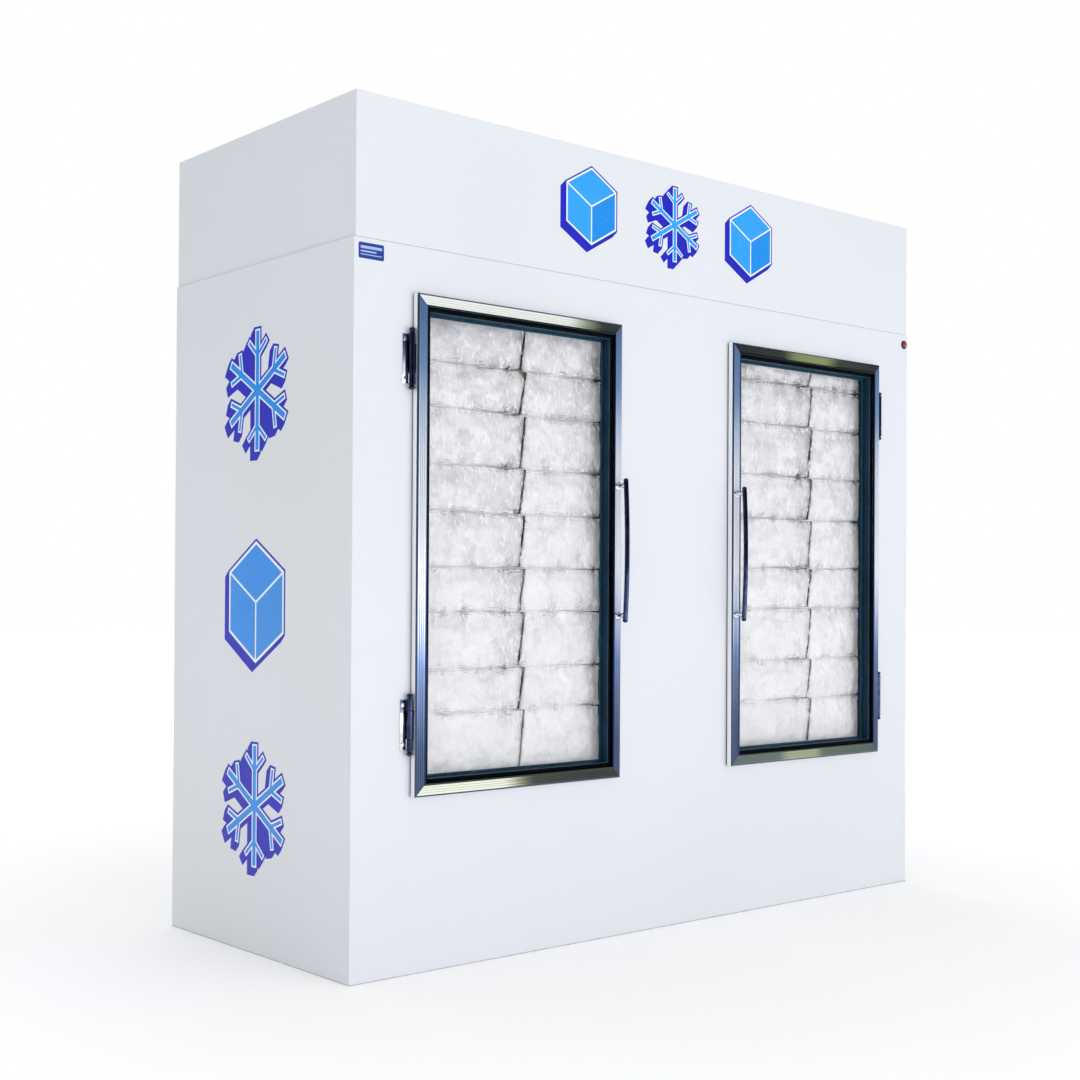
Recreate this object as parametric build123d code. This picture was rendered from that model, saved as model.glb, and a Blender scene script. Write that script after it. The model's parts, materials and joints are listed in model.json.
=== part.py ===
"""A two-door glazed ice merchandiser: an insulated steel cabinet with its refrigeration under a hood.

Millimetres. X runs across the front, Y from the front to the back, Z up. The origin is the centre of the
cabinet's footprint on the floor, so the front skin lies at half the depth on the minus Y side.
"""

from build123d import *
import os

# Cabinet shell
cabinet_width = 2036.0
cabinet_depth = 830.0
cabinet_height = 2007.0
header_height = 331.0
wall_thickness = 75.0
skin_thickness = 1.5
liner_thickness = 1.2
base_thickness = 2.0
fold_width = 20.0
fit_gap = 0.3
overrun = 5.0

# Hood over the machinery
hood_inset = 4.0
hood_seam = 1.2
hood_angle_leg = 25.0
hood_angle_thickness = 2.0
louvre_height = 8.0
louvre_pitch = 22.0
louvre_edge_distance = 284.0
louvre_middle_gap = 340.0
louvre_margin = 46.0

# Door openings and doors
door_side_margin = 162.0
door_middle_gap = 416.0
door_top_margin = 109.0
door_bottom = 408.0
door_overlap = 16.0
jamb_thickness = 2.0
frame_width = 30.0
frame_proud = 24.0
frame_edge_drop = 5.5
frame_chamfer = 4.5
frame_lip_width = 4.5
frame_lip_step = 2.0
frame_lip_thickness = 5.0
frame_groove_width = 1.4
frame_groove_depth = 0.7
frame_groove_count = 3
gasket_height = 4.0
gasket_width = 12.0
gasket_inset = 1.5
pane_thickness = 4.0
glass_gap = 20.0
spacer_width = 13.0
spacer_show = 11.0
bead_thickness = 2.0
bead_show = 17.5
bead_clearance = 3.5
glass_edge_gap = 0.25

# Door handles
handle_length = 355.0
handle_post_spacing = 330.0
handle_reach = 35.0
handle_bow = 6.0
grip_radius = 6.5
post_radius = 6.0
rosette_radius = 10.0
rosette_thickness = 3.0

# Door hinges
hinge_low_rise = 167.0
hinge_high_drop = 152.0
hinge_offset = 9.0
hinge_proud = 12.0
knuckle_radius = 7.0
leaf_knuckle_height = 66.0
fixed_knuckle_height = 24.0
knuckle_gap = 0.4
leaf_thickness = 1.8
leaf_depth = 12.0
web_thickness = 4.0
bracket_thickness = 2.5
bracket_reach = 20.0
hinge_pin_radius = 3.0
pin_clearance = 0.05
acorn_radius = 7.6
acorn_height = 15.0

# Screws
screw_head_radius = 4.2
screw_head_height = 2.4
rear_screw_columns = 7
rear_screw_rows = 4

# Store fittings
rack_height = 25.0
rack_slat_width = 40.0
rack_slat_pitch = 62.0
rack_slat_thickness = 4.0
rack_runner_width = 30.0
rack_runner_count = 5
rack_margin = 6.0
light_width = 44.0
light_depth = 12.0
light_end_gap = 23.5
light_lens_radius = 15.0

# Bags of ice
bag_side_gap = 17.0
bag_recess = 32.0
bag_air_gap = 81.0
bag_crown = 20.0
bag_crown_share = 0.42
stacked_rows_below = 3
left_row_shares = (0.1295, 0.097, 0.1245, 0.102, 0.119, 0.108, 0.1235, 0.1045, 0.092)
right_row_shares = (0.131, 0.100, 0.131, 0.100, 0.129, 0.105, 0.129, 0.107, 0.068)

# Pilot lamp
lamp_edge_distance = 16.5
lamp_drop = 30.0
lamp_bezel_radius = 13.0
lamp_bezel_height = 4.0
lamp_seat_floor = 1.0
lamp_barrel_radius = 8.0
lamp_barrel_length = 22.0
lamp_lens_radius = 9.0
lamp_lens_height = 9.0

# Vinyl decals
vinyl_thickness = 0.4
header_decal_height = 206.0
side_decal_height = 310.0
header_decal_drop = 148.0
header_decal_spacing = 300.0
side_decal_place_shares = (0.2136, 0.5084, 0.8162)
decal_shadow = 16.0
flake_arm_width = 34.0
flake_twig_width_share = 0.8
flake_twig_length_share = 0.2
flake_twig_side_share = 0.075
flake_twig_reach_share = 0.34
flake_twig_lean = 50.0

# Condensing unit
tray_width = 820.0
tray_end_gap = 95.0
tray_right_gap = 70.0
tray_thickness = 2.0
tray_rim = 18.0
compressor_radius = 92.0
compressor_height = 214.0
compressor_crown = 40.0
compressor_inset = 190.0
foot_length = 250.0
foot_width = 190.0
foot_thickness = 4.0
grommet_radius = 13.0
grommet_height = 16.0
terminal_width = 50.0
terminal_depth = 34.0
terminal_height = 80.0
stub_radius = 10.0
stub_length = 14.0
condenser_width = 400.0
condenser_height = 250.0
condenser_depth = 76.0
condenser_inset = 30.0
shroud_depth = 40.0
fan_ring_clearance = 5.0
condenser_fan_radius = 110.0
receiver_radius = 45.0
receiver_length = 250.0
receiver_end_radius = 15.0
saddle_place_shares = (0.2, 0.8)
saddle_width_share = 0.7
saddle_thickness = 10.0
saddle_drop = 6.0

# Fans and their motors
hub_radius = 26.0
hub_length = 30.0
fan_blade_count = 5
fan_blade_chord = 74.0
fan_blade_thickness = 2.0
fan_blade_pitch = 25.0
fan_shaft_radius = 4.0
shaft_bore_depth = 24.0
motor_radius = 40.0
motor_length = 58.0
motor_standoff = 38.0
motor_bar_width = 24.0
motor_bar_thickness = 3.0
motor_bar_overlap = 12.0
post_rod_radius = 4.0

# Evaporator
evaporator_end_gap = 293.0
evaporator_height = 236.0
evaporator_depth = 300.0
evaporator_gap = 12.0
housing_thickness = 2.0
coil_depth = 110.0
coil_end_gap = 40.0
coil_drop = 16.0
coil_lift = 20.0
coil_hanger_width = 24.0
evaporator_fan_radius = 96.0
evaporator_fan_end_distance = 340.0
drip_tray_height = 30.0
drain_radius = 9.5
drain_wall = 1.5
drain_lift = 12.5
drain_reach = 30.0
drain_collar_radius = 16.0
drain_collar_thickness = 4.0
drain_end_distance = 230.0

# Refrigerant lines
discharge_radius = 6.0
liquid_radius = 5.0
suction_radius = 8.0
line_bend = 22.0
line_rise = 34.0

# Control box
control_width = 240.0
control_height = 170.0
control_depth = 120.0
control_front_gap = 40.0
control_edge_distance = 454.0
control_wall = 1.5
knob_radius = 17.0
knob_length = 14.0
knob_shaft_radius = 3.0
knob_shaft_length = 12.0
knob_side_share = 0.3
thermostat_size = 40.0
switch_width = 22.0
switch_height = 34.0
switch_wall = 1.5
switch_depth = 20.0
switch_side_share = 0.68
rocker_gap = 0.5
rocker_end_gap = 1.5
rocker_proud = 3.5
rocker_depth = 8.0
rocker_pin_radius = 1.5
rocker_tilt = 7.0

# Cable gland for the mains lead
gland_bore_radius = 5.5
gland_body_radius = 11.0
gland_collar_radius = 12.5
gland_length = 14.0
gland_nut_radius = 14.0
gland_nut_length = 6.0
gland_edge_distance = 254.0
gland_rise = 60.0

# Places worked out from the sizes above
half_width = cabinet_width / 2
front = -cabinet_depth / 2
back = cabinet_depth / 2
seam = cabinet_height - header_height
store_half = half_width - wall_thickness
store_front = front + wall_thickness
store_back = back - wall_thickness
store_floor = wall_thickness
store_ceiling = seam - wall_thickness
hood_half = half_width - hood_inset
door_top = seam - door_top_margin
door_height = door_top - door_bottom
door_edge = half_width - door_side_margin
door_width = door_edge - door_middle_gap / 2
door_middle = door_edge - door_width / 2
frame_face = frame_proud - frame_lip_step
frame_box_width = door_overlap + bead_clearance + bead_thickness
glass_front = frame_proud - frame_lip_thickness
glass_back = glass_front - glass_gap - 2 * pane_thickness
opening_half = door_width / 2 - door_overlap
opening_bottom = door_bottom + door_overlap
opening_top = door_top - door_overlap
hinge_heights = (door_bottom + hinge_low_rise, door_top - hinge_high_drop)
sides = (-1, 1)

# Places of the condensing unit
tray_right = hood_half - tray_right_gap
tray_left = tray_right - tray_width
tray_front = front + tray_end_gap
tray_back = back - tray_end_gap
tray_top = seam + tray_thickness
compressor_x = tray_left + compressor_inset
shell_base = tray_top + grommet_height + foot_thickness
condenser_right = tray_right - condenser_inset
condenser_left = condenser_right - condenser_width
condenser_middle = (condenser_left + condenser_right) / 2
condenser_back = tray_back - condenser_inset
condenser_front = condenser_back - condenser_depth
condenser_top = tray_top + condenser_height
shroud_front = condenser_front - shroud_depth
receiver_y = tray_front + condenser_inset + receiver_radius
receiver_left = condenser_middle - receiver_length / 2
receiver_z = tray_top + saddle_drop + receiver_radius

# Places of the evaporator, the bags and the controls
evaporator_half = store_half - evaporator_end_gap
evaporator_back = store_back - evaporator_gap
evaporator_front = evaporator_back - evaporator_depth
evaporator_low = store_ceiling - evaporator_height
coil_middle_y = evaporator_back - housing_thickness - coil_depth / 2
coil_top = store_ceiling - housing_thickness - coil_drop
bag_width = opening_half - bag_side_gap
bag_front = front + bag_recess
bag_depth = evaporator_front - bag_air_gap - bag_front
control_left = -hood_half + control_edge_distance
control_face = front + skin_thickness + control_front_gap
rocker_pivot_y = control_face - rocker_proud + rocker_depth / 2


def between(xs, ys, zs):
    """A block between two places along each axis."""
    middle = [(low + high) / 2 for low, high in (xs, ys, zs)]
    spans = [abs(high - low) for low, high in (xs, ys, zs)]
    return Pos(*middle) * Box(*spans)


def rod(start, direction, radius, length):
    """A round bar from a point, along a direction."""
    return Solid.make_cylinder(radius, length, Plane(origin=start, z_dir=direction))


def prism(points, direction, length):
    """A flat outline of points in space, drawn out along a direction."""
    return extrude(make_face(Polyline(*points, close=True)), amount=length, dir=direction)


def save(name, *shapes):
    """Writes one node, its shapes kept as separate solids."""
    solids = [solid for shape in shapes for solid in shape.solids()]
    export_step(Compound(children=solids), f"parts/{name}.step")


def opening_prism(side, growth, back_y):
    """The clear way through the front wall at one door, grown all round."""
    middle = side * door_middle
    reach = opening_half + growth
    heights = (opening_bottom - growth, opening_top + growth)
    return between((middle - reach, middle + reach), (front - overrun, back_y), heights)


def build_lamp_hole():
    """The hole that the pilot lamp's barrel sits in."""
    place = (half_width - lamp_edge_distance, front - overrun, seam - lamp_drop)
    return rod(place, (0, 1, 0), lamp_barrel_radius + fit_gap, lamp_barrel_length + 2 * overrun)


def fan_post_reach(fan_radius):
    """How far from the fan's axis its motor's posts stand."""
    return fan_radius + fan_ring_clearance + motor_bar_overlap


def axial_fan(centre, towards_motor, fan_radius):
    """A hub with pitched blades on a shaft that runs into the motor's bore."""
    x, y, z = centre
    direction = (0, towards_motor, 0)
    hub = rod((x, y - towards_motor * hub_length / 2, z), direction, hub_radius, hub_length)
    blade_length = fan_radius - hub_radius / 2
    fan = hub
    for number in range(fan_blade_count):
        turn = Rot(0, number * 360 / fan_blade_count, 0)
        reach = Pos(hub_radius / 2 + blade_length / 2, 0, 0)
        pitch = Rot(fan_blade_pitch * towards_motor, 0, 0)
        blade = turn * reach * pitch * Box(blade_length, fan_blade_thickness, fan_blade_chord)
        fan = fan + Pos(x, y, z) * blade
    swept = rod((x, y - fan_blade_chord / 2, z), (0, 1, 0), fan_radius, fan_blade_chord)
    shaft_length = motor_standoff + motor_bar_thickness + shaft_bore_depth - fit_gap
    return (fan & swept) + rod(centre, direction, fan_shaft_radius, shaft_length)


def fan_motor(centre, towards_motor, fan_radius):
    """A motor on a bar, held off the fan plate by two posts."""
    x, y, z = centre
    direction = (0, towards_motor, 0)
    reach = fan_post_reach(fan_radius)
    bar_near = y + towards_motor * motor_standoff
    bar_far = bar_near + towards_motor * motor_bar_thickness
    half_bar = motor_bar_width / 2
    half_length = reach + half_bar
    bar_zone = (z - half_bar, z + half_bar)
    bar = between((x - half_length, x + half_length), (bar_near, bar_far), bar_zone)
    motor = bar + rod((x, bar_near, z), direction, motor_radius, motor_bar_thickness + motor_length)
    for side in sides:
        motor = motor + rod((x + side * reach, y, z), direction, post_rod_radius, motor_standoff)
    bore_radius = fan_shaft_radius + pin_clearance
    return motor - rod((x, bar_near, z), direction, bore_radius, motor_bar_thickness + shaft_bore_depth)


def screw_head(place, outward):
    """The head of a pan-head screw on a face."""
    return rod(place, outward, screw_head_radius, screw_head_height)


# Outer shell
def build_shell():
    """The base pan, the outer skins and the deck over the insulated box."""
    pan = between((-half_width, half_width), (front, back), (0, base_thickness))
    lip_x = half_width - skin_thickness
    lip_y = back - skin_thickness
    lip_zone = (base_thickness, base_thickness + fold_width)
    inner = skin_thickness + base_thickness
    lips = between((-lip_x, lip_x), (-lip_y, lip_y), lip_zone) - between(
        (inner - half_width, half_width - inner),
        (front + inner, back - inner),
        (base_thickness - overrun, base_thickness + fold_width + overrun),
    )
    save("base_pan", pan + lips)

    skin_zone = (base_thickness, seam)
    front_skin = between((-half_width, half_width), (front, front + skin_thickness), skin_zone)
    for side in sides:
        front_skin = front_skin - opening_prism(side, jamb_thickness, front + overrun)
    save("front_panel", front_skin - build_lamp_hole())

    panels = []
    for side in sides:
        outer = side * half_width
        inner_x = outer - side * skin_thickness
        fold_x = inner_x - side * fold_width
        near, far = front + skin_thickness, back - skin_thickness
        fold_zone = (base_thickness + fold_width + fit_gap, seam - skin_thickness - fit_gap)
        panel = between((outer, inner_x), (near, far), skin_zone)
        panel = panel + between((inner_x, fold_x), (near, near + skin_thickness), fold_zone)
        panel = panel + between((inner_x, fold_x), (far - skin_thickness, far), fold_zone)
        panels.append(panel - build_lamp_hole())
    save("side_panels", *panels)

    rear_skin = between((-half_width, half_width), (back - skin_thickness, back), skin_zone)
    save("rear_panel", rear_skin - build_drain_hole())

    deck_x = half_width - skin_thickness
    deck_ys = (front + skin_thickness, back - skin_thickness)
    deck = between((-deck_x, deck_x), deck_ys, (seam - skin_thickness, seam))
    save("deck_panel", deck - build_line_holes())

    lips_grown = between((-lip_x, lip_x), (-lip_y, lip_y), lip_zone)
    foam = between((-deck_x, deck_x), deck_ys, (base_thickness, seam - skin_thickness))
    foam = foam - (lips_grown - between(
        (inner - half_width, half_width - inner),
        (front + inner, back - inner),
        (base_thickness, base_thickness + fold_width + overrun),
    ))
    outside = liner_thickness
    foam = foam - between(
        (-store_half - outside, store_half + outside),
        (store_front - outside, store_back + outside),
        (store_floor - outside, store_ceiling + outside),
    )
    for side in sides:
        foam = foam - opening_prism(side, jamb_thickness, store_front)
    for panel in panels:
        foam = foam - panel
    save("insulation_foam", foam - build_lamp_hole() - build_drain_hole() - build_line_holes())


# Liner of the store
def build_liner():
    """The inner sheets that line the store, and the jambs round the two openings."""
    outside = liner_thickness
    long_x = (-store_half - outside, store_half + outside)
    long_y = (store_front - outside, store_back + outside)
    tall = (store_floor, store_ceiling)
    save("liner_floor", between(long_x, long_y, (store_floor - outside, store_floor)))
    ceiling = between(long_x, long_y, (store_ceiling, store_ceiling + outside))
    save("liner_ceiling", ceiling - build_line_holes())
    walls = [
        between((side * store_half, side * (store_half + outside)), long_y, tall) for side in sides
    ]
    rear = between((-store_half, store_half), (store_back, store_back + outside), tall)
    save("liner_walls", *walls, rear - build_drain_hole())
    front_liner = between((-store_half, store_half), (store_front - outside, store_front), tall)
    for side in sides:
        front_liner = front_liner - opening_prism(side, jamb_thickness, store_front + overrun)
    save("liner_front", front_liner)

    jambs = []
    for side in sides:
        middle = side * door_middle
        depth = (front, store_front)
        for edge in sides:
            near = middle + edge * opening_half
            far = near + edge * jamb_thickness
            heights = (opening_bottom - jamb_thickness, opening_top + jamb_thickness)
            jambs.append(between((near, far), depth, heights))
        across = (middle - opening_half, middle + opening_half)
        jambs.append(between(across, depth, (opening_bottom - jamb_thickness, opening_bottom)))
        jambs.append(between(across, depth, (opening_top, opening_top + jamb_thickness)))
    save("door_jambs", *jambs)


# Hood
def build_hood():
    """The hood: an angle frame on the deck, the header, two sides, the rear grille and the top."""
    inner_x = hood_half - skin_thickness
    inner_front, inner_back = front + skin_thickness, back - skin_thickness
    leg, thick = hood_angle_leg, hood_angle_thickness
    foot = between((-inner_x, inner_x), (inner_front, inner_back), (seam, seam + thick))
    wall = between((-inner_x, inner_x), (inner_front, inner_back), (seam, seam + leg))
    foot_hole = between(
        (leg - inner_x, inner_x - leg), (inner_front + leg, inner_back - leg), (seam - overrun, seam + leg)
    )
    wall_hole = between(
        (thick - inner_x, inner_x - thick),
        (inner_front + thick, inner_back - thick),
        (seam - overrun, seam + leg + overrun),
    )
    save("hood_base_frame", (foot - foot_hole) + (wall - wall_hole))

    zone = (seam + hood_seam, cabinet_height - skin_thickness)
    save("header_panel", between((-hood_half, hood_half), (front, inner_front), zone))
    walls = [
        between((side * hood_half, side * inner_x), (inner_front, inner_back), zone) for side in sides
    ]
    save("hood_sides", *walls)

    grille = between((-hood_half, hood_half), (inner_back, back), zone)
    rise = zone[1] - zone[0] - 2 * louvre_margin
    count = int(rise // louvre_pitch)
    slot_y = (inner_back - overrun, back + overrun)
    for side in sides:
        slot_x = (side * louvre_middle_gap / 2, side * (hood_half - louvre_edge_distance))
        for row in range(count):
            low = zone[0] + louvre_margin + row * louvre_pitch
            grille = grille - between(slot_x, slot_y, (low, low + louvre_height))
    grille = grille - rod(gland_place(), (0, -1, 0), gland_body_radius + fit_gap, skin_thickness + overrun)
    save("hood_rear_grille", grille)
    top_zone = (cabinet_height - skin_thickness, cabinet_height)
    save("hood_top", between((-hood_half, hood_half), (front, back), top_zone))


# Doors
def across(side, inset):
    """The place across a door, counted inwards from its hinge edge."""
    return side * (door_edge - inset)


def door_slab(side, inset, low, high):
    """A slab the size of the door less an inset, between two distances from the cabinet's face."""
    return between(
        (across(side, inset), across(side, door_width - inset)),
        (front - low, front - high),
        (door_bottom + inset, door_top - inset),
    )


def door_ring(side, outer, inner, low, high):
    """A rectangular ring round the door between two insets."""
    return door_slab(side, outer, low, high) - door_slab(side, inner, low - overrun, high + overrun)


def frame_profile():
    """The frame's section as insets from the outer edge and distances from the cabinet's face."""
    points = [
        (0, gasket_height),
        (0, frame_proud - frame_edge_drop),
        (frame_chamfer, frame_face),
    ]
    flat = frame_width - frame_lip_width - frame_chamfer
    pitch = flat / (frame_groove_count + 1)
    for number in range(frame_groove_count):
        near = frame_chamfer + (number + 1) * pitch - frame_groove_width / 2
        points += [
            (near, frame_face),
            (near, frame_face - frame_groove_depth),
            (near + frame_groove_width, frame_face - frame_groove_depth),
            (near + frame_groove_width, frame_face),
        ]
    return points + [
        (frame_width - frame_lip_width, frame_face),
        (frame_width - frame_lip_width, frame_proud),
        (frame_width, frame_proud),
        (frame_width, glass_front),
        (frame_box_width, glass_front),
        (frame_box_width, gasket_height),
    ]


def mitre_wedge(side, place, upright):
    """The region of the frame that one mitred bar may fill."""
    left, right = across(side, 0), across(side, door_width)
    inner_left, inner_right = across(side, frame_width), across(side, door_width - frame_width)
    low, high = door_bottom, door_top
    inner_low, inner_high = door_bottom + frame_width, door_top - frame_width
    if upright:
        outer, inner = ((left, inner_left), (right, inner_right))[place]
        corners = [(outer, low), (outer, high), (inner, inner_high), (inner, inner_low)]
    else:
        outer, inner = ((low, inner_low), (high, inner_high))[place]
        corners = [(left, outer), (right, outer), (inner_right, inner), (inner_left, inner)]
    near = front - frame_proud - overrun
    return prism([(x, near, z) for x, z in corners], (0, 1, 0), frame_proud + 2 * overrun)


def build_frame_bars(side, prefix):
    """Two stiles and two rails, mitred at the corners."""
    profile = frame_profile()
    stiles, rails = [], []
    for place in (0, 1):
        outline = [
            (across(side, (inset, door_width - inset)[place]), front - proud, door_bottom)
            for inset, proud in profile
        ]
        bar = prism(outline, (0, 0, 1), door_height)
        stiles.append(bar & mitre_wedge(side, place, True))
        outline = [
            (across(side, door_width), front - proud, (door_bottom + inset, door_top - inset)[place])
            for inset, proud in profile
        ]
        bar = prism(outline, (side, 0, 0), door_width)
        rails.append(bar & mitre_wedge(side, place, False))
    save(f"{prefix}_door_stiles", *stiles)
    save(f"{prefix}_door_rails", *rails)


def build_glazing(side, prefix):
    """The sealed glass pack with its dark spacer, the bead behind it and the gasket."""
    pack_inset = frame_box_width + glass_edge_gap
    rear_pane = door_slab(side, pack_inset, glass_back, glass_back + pane_thickness)
    front_pane = door_slab(side, pack_inset, glass_front - pane_thickness, glass_front)
    save(f"{prefix}_door_glass", rear_pane, front_pane)
    spacer_inset = frame_width + spacer_show
    low = glass_back + pane_thickness
    spacer = door_ring(side, spacer_inset - spacer_width, spacer_inset, low, low + glass_gap)
    save(f"{prefix}_door_spacer", spacer)
    bead_outer = frame_box_width - bead_thickness
    rim = door_ring(side, bead_outer, frame_box_width, glass_back - bead_thickness, gasket_height)
    lip_inset = frame_width + bead_show
    lip = door_ring(side, bead_outer, lip_inset, glass_back - bead_thickness, glass_back)
    save(f"{prefix}_door_bead", rim + lip)
    gasket_outer = gasket_inset
    gasket = door_ring(side, gasket_outer, gasket_outer + gasket_width, fit_gap, gasket_height)
    save(f"{prefix}_door_gasket", gasket)


def build_handle(side, prefix):
    """A chrome bar handle: a bowed grip on two posts with rosettes."""
    x = across(side, door_width - (frame_width - frame_lip_width + frame_chamfer) / 2)
    middle = door_bottom + door_height / 2
    face = front - frame_face
    crest = face - handle_reach
    end = crest + handle_bow
    half = handle_length / 2
    low, top = (x, end, middle - half), (x, end, middle + half)
    path = ThreePointArc(low, (x, crest, middle), top)
    section = Plane(origin=path @ 0, z_dir=path % 0) * Circle(grip_radius)
    handle = sweep(section, path=path)
    for point in (low, top):
        handle = handle + Pos(*point) * Sphere(grip_radius)
    for step in sides:
        z = middle + step * handle_post_spacing / 2
        handle = handle + rod((x, face, z), (0, -1, 0), post_radius, handle_reach - handle_bow)
        handle = handle + rod((x, face, z), (0, -1, 0), rosette_radius, rosette_thickness)
    save(f"{prefix}_door_handle", handle)


def hinge_place(side, height):
    """A point on the hinge's axis."""
    return side * (door_edge + hinge_offset), front - hinge_proud, height


def build_hinge_leaves(side, prefix):
    """The moving leaves: a knuckle, a web and a plate on the frame's outer side."""
    leaves = []
    half = leaf_knuckle_height / 2
    for height in hinge_heights:
        x, y, _ = hinge_place(side, height)
        zone = (height - half, height + half)
        edge = side * door_edge
        leaf = rod((x, y, zone[0]), (0, 0, 1), knuckle_radius, leaf_knuckle_height)
        leaf = leaf + between((x, edge), (y - web_thickness / 2, y + web_thickness / 2), zone)
        plate_x = (edge + side * leaf_thickness, edge)
        plate_low = front - gasket_height - fit_gap
        leaf = leaf + between(plate_x, (plate_low, plate_low - leaf_depth), zone)
        bore = rod((x, y, zone[0]), (0, 0, 1), hinge_pin_radius + pin_clearance, leaf_knuckle_height)
        leaves.append(leaf - bore)
    save(f"{prefix}_hinge_leaves", *leaves)


def build_doors():
    """Both doors, each from the same sizes, hinged on its outer edge."""
    for side, prefix in zip(sides, ("left", "right")):
        build_frame_bars(side, prefix)
        build_glazing(side, prefix)
        build_handle(side, prefix)
        build_hinge_leaves(side, prefix)


def build_hinge_fixings():
    """The fixed brackets, the pins with acorn caps, and every screw head that shows."""
    brackets, pins, screws = [], [], []
    half = leaf_knuckle_height / 2
    full = half + knuckle_gap + fixed_knuckle_height
    for side in sides:
        for height in hinge_heights:
            x, y, _ = hinge_place(side, height)
            plate_x = (x + side * bracket_reach, x - side * (hinge_offset - leaf_thickness))
            plate_y = (front, front - bracket_thickness)
            bracket = between(plate_x, plate_y, (height - full, height + full))
            for step in sides:
                near = height + step * (half + knuckle_gap)
                zone = (near, near + step * fixed_knuckle_height)
                low = min(zone)
                bracket = bracket + rod((x, y, low), (0, 0, 1), knuckle_radius, fixed_knuckle_height)
                web_x = (x - web_thickness / 2, x + web_thickness / 2)
                bracket = bracket + between(web_x, (front, y), zone)
                screw_x = x + side * (bracket_reach - screw_head_radius - web_thickness / 2)
                place = (screw_x, front - bracket_thickness, near + step * fixed_knuckle_height / 2)
                screws.append(screw_head(place, (0, -1, 0)))
            bore_low = (x, y, height - full - overrun)
            bore_length = 2 * (full + overrun)
            brackets.append(bracket - rod(bore_low, (0, 0, 1), hinge_pin_radius, bore_length))
            pin = rod((x, y, height - full), (0, 0, 1), hinge_pin_radius, 2 * full)
            for step in sides:
                pin = pin + acorn_cap((x, y, height + step * full), step)
            pins.append(pin)
    save("hinge_brackets", *brackets)
    save("hinge_pins", *pins)
    save("screws", *screws, *rear_screws())


def acorn_cap(place, step):
    """A domed cap on the end of a hinge pin."""
    x, y, z = place
    collar = acorn_height - acorn_radius
    cap = rod(place, (0, 0, step), acorn_radius, collar)
    dome = Pos(x, y, z + step * collar) * Sphere(acorn_radius)
    return cap + dome


def rear_screws():
    """Screw heads along the edges of the rear panel and of the rear grille."""
    margin = fold_width / 2 + skin_thickness
    heads = []
    for number in range(rear_screw_columns):
        share = number / (rear_screw_columns - 1)
        x = (2 * share - 1) * (hood_half - margin)
        for z in (base_thickness + margin, seam - margin, seam + hood_seam + margin):
            heads.append(screw_head((x, back, z), (0, 1, 0)))
        heads.append(screw_head((x, back, cabinet_height - margin), (0, 1, 0)))
    for number in range(rear_screw_rows):
        share = (number + 1) / (rear_screw_rows + 1)
        z = base_thickness + margin + share * (seam - 2 * margin)
        for side in sides:
            heads.append(screw_head((side * (hood_half - margin), back, z), (0, 1, 0)))
    return heads


# Store
def build_store():
    """The floor rack, the light between the doors, and the bagged ice."""
    rack_top = store_floor + rack_height
    half_x = store_half - rack_margin
    near, far = store_front + rack_margin, store_back - rack_margin
    rack = None
    for number in range(rack_runner_count):
        share = number / (rack_runner_count - 1)
        y = near + rack_runner_width / 2 + share * (far - near - rack_runner_width)
        runner = between(
            (-half_x, half_x),
            (y - rack_runner_width / 2, y + rack_runner_width / 2),
            (store_floor, rack_top - rack_slat_thickness),
        )
        rack = runner if rack is None else rack + runner
    count = int((2 * half_x - rack_slat_width) // rack_slat_pitch)
    pitch = (2 * half_x - rack_slat_width) / count
    for number in range(count + 1):
        x = -half_x + number * pitch
        slat_z = (rack_top - rack_slat_thickness, rack_top)
        rack = rack + between((x, x + rack_slat_width), (near, far), slat_z)
    save("floor_rack", rack)

    zone = (opening_bottom + light_end_gap, opening_top - light_end_gap)
    channel = between((-light_width / 2, light_width / 2), (store_front, store_front + light_depth), zone)
    lens_base = (0, store_front + light_depth, zone[0] + light_depth)
    lens = rod(lens_base, (0, 0, 1), light_lens_radius, zone[1] - zone[0] - 2 * light_depth)
    behind = between(
        (-light_width, light_width), (store_front - light_lens_radius, store_front + light_depth), zone
    )
    save("store_light", channel, lens - behind)
    save_bags(rack_top)


def bag(xs, ys, zs):
    """One bag of ice: a pillow with all its edges well rounded."""
    block = between(xs, ys, zs)
    return fillet(block.edges(), min(bag_crown, bag_crown_share * (zs[1] - zs[0])))


def save_bags(rack_top):
    """Twelve layers in each of four columns: three behind the front wall, nine in each door opening."""
    bags = []
    lower_front = store_front + rack_margin
    visible = opening_top - opening_bottom - 2 * fit_gap
    below = (opening_bottom - rack_top) / stacked_rows_below
    for side, shares in zip(sides, (left_row_shares, right_row_shares)):
        layers = [(lower_front, rack_top + row * below, below) for row in range(stacked_rows_below)]
        base = opening_bottom + fit_gap
        for share in shares:
            layer = share / sum(shares) * visible
            layers.append((bag_front, base, layer))
            base += layer
        for face, low, height in layers:
            for step in sides:
                inner = side * door_middle + step * fit_gap / 2
                outer = inner + step * bag_width
                xs = (min(inner, outer), max(inner, outer))
                bags.append(bag(xs, (face, face + bag_depth), (low + fit_gap, low + height)))
    save("bagged_ice", *bags)


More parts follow.
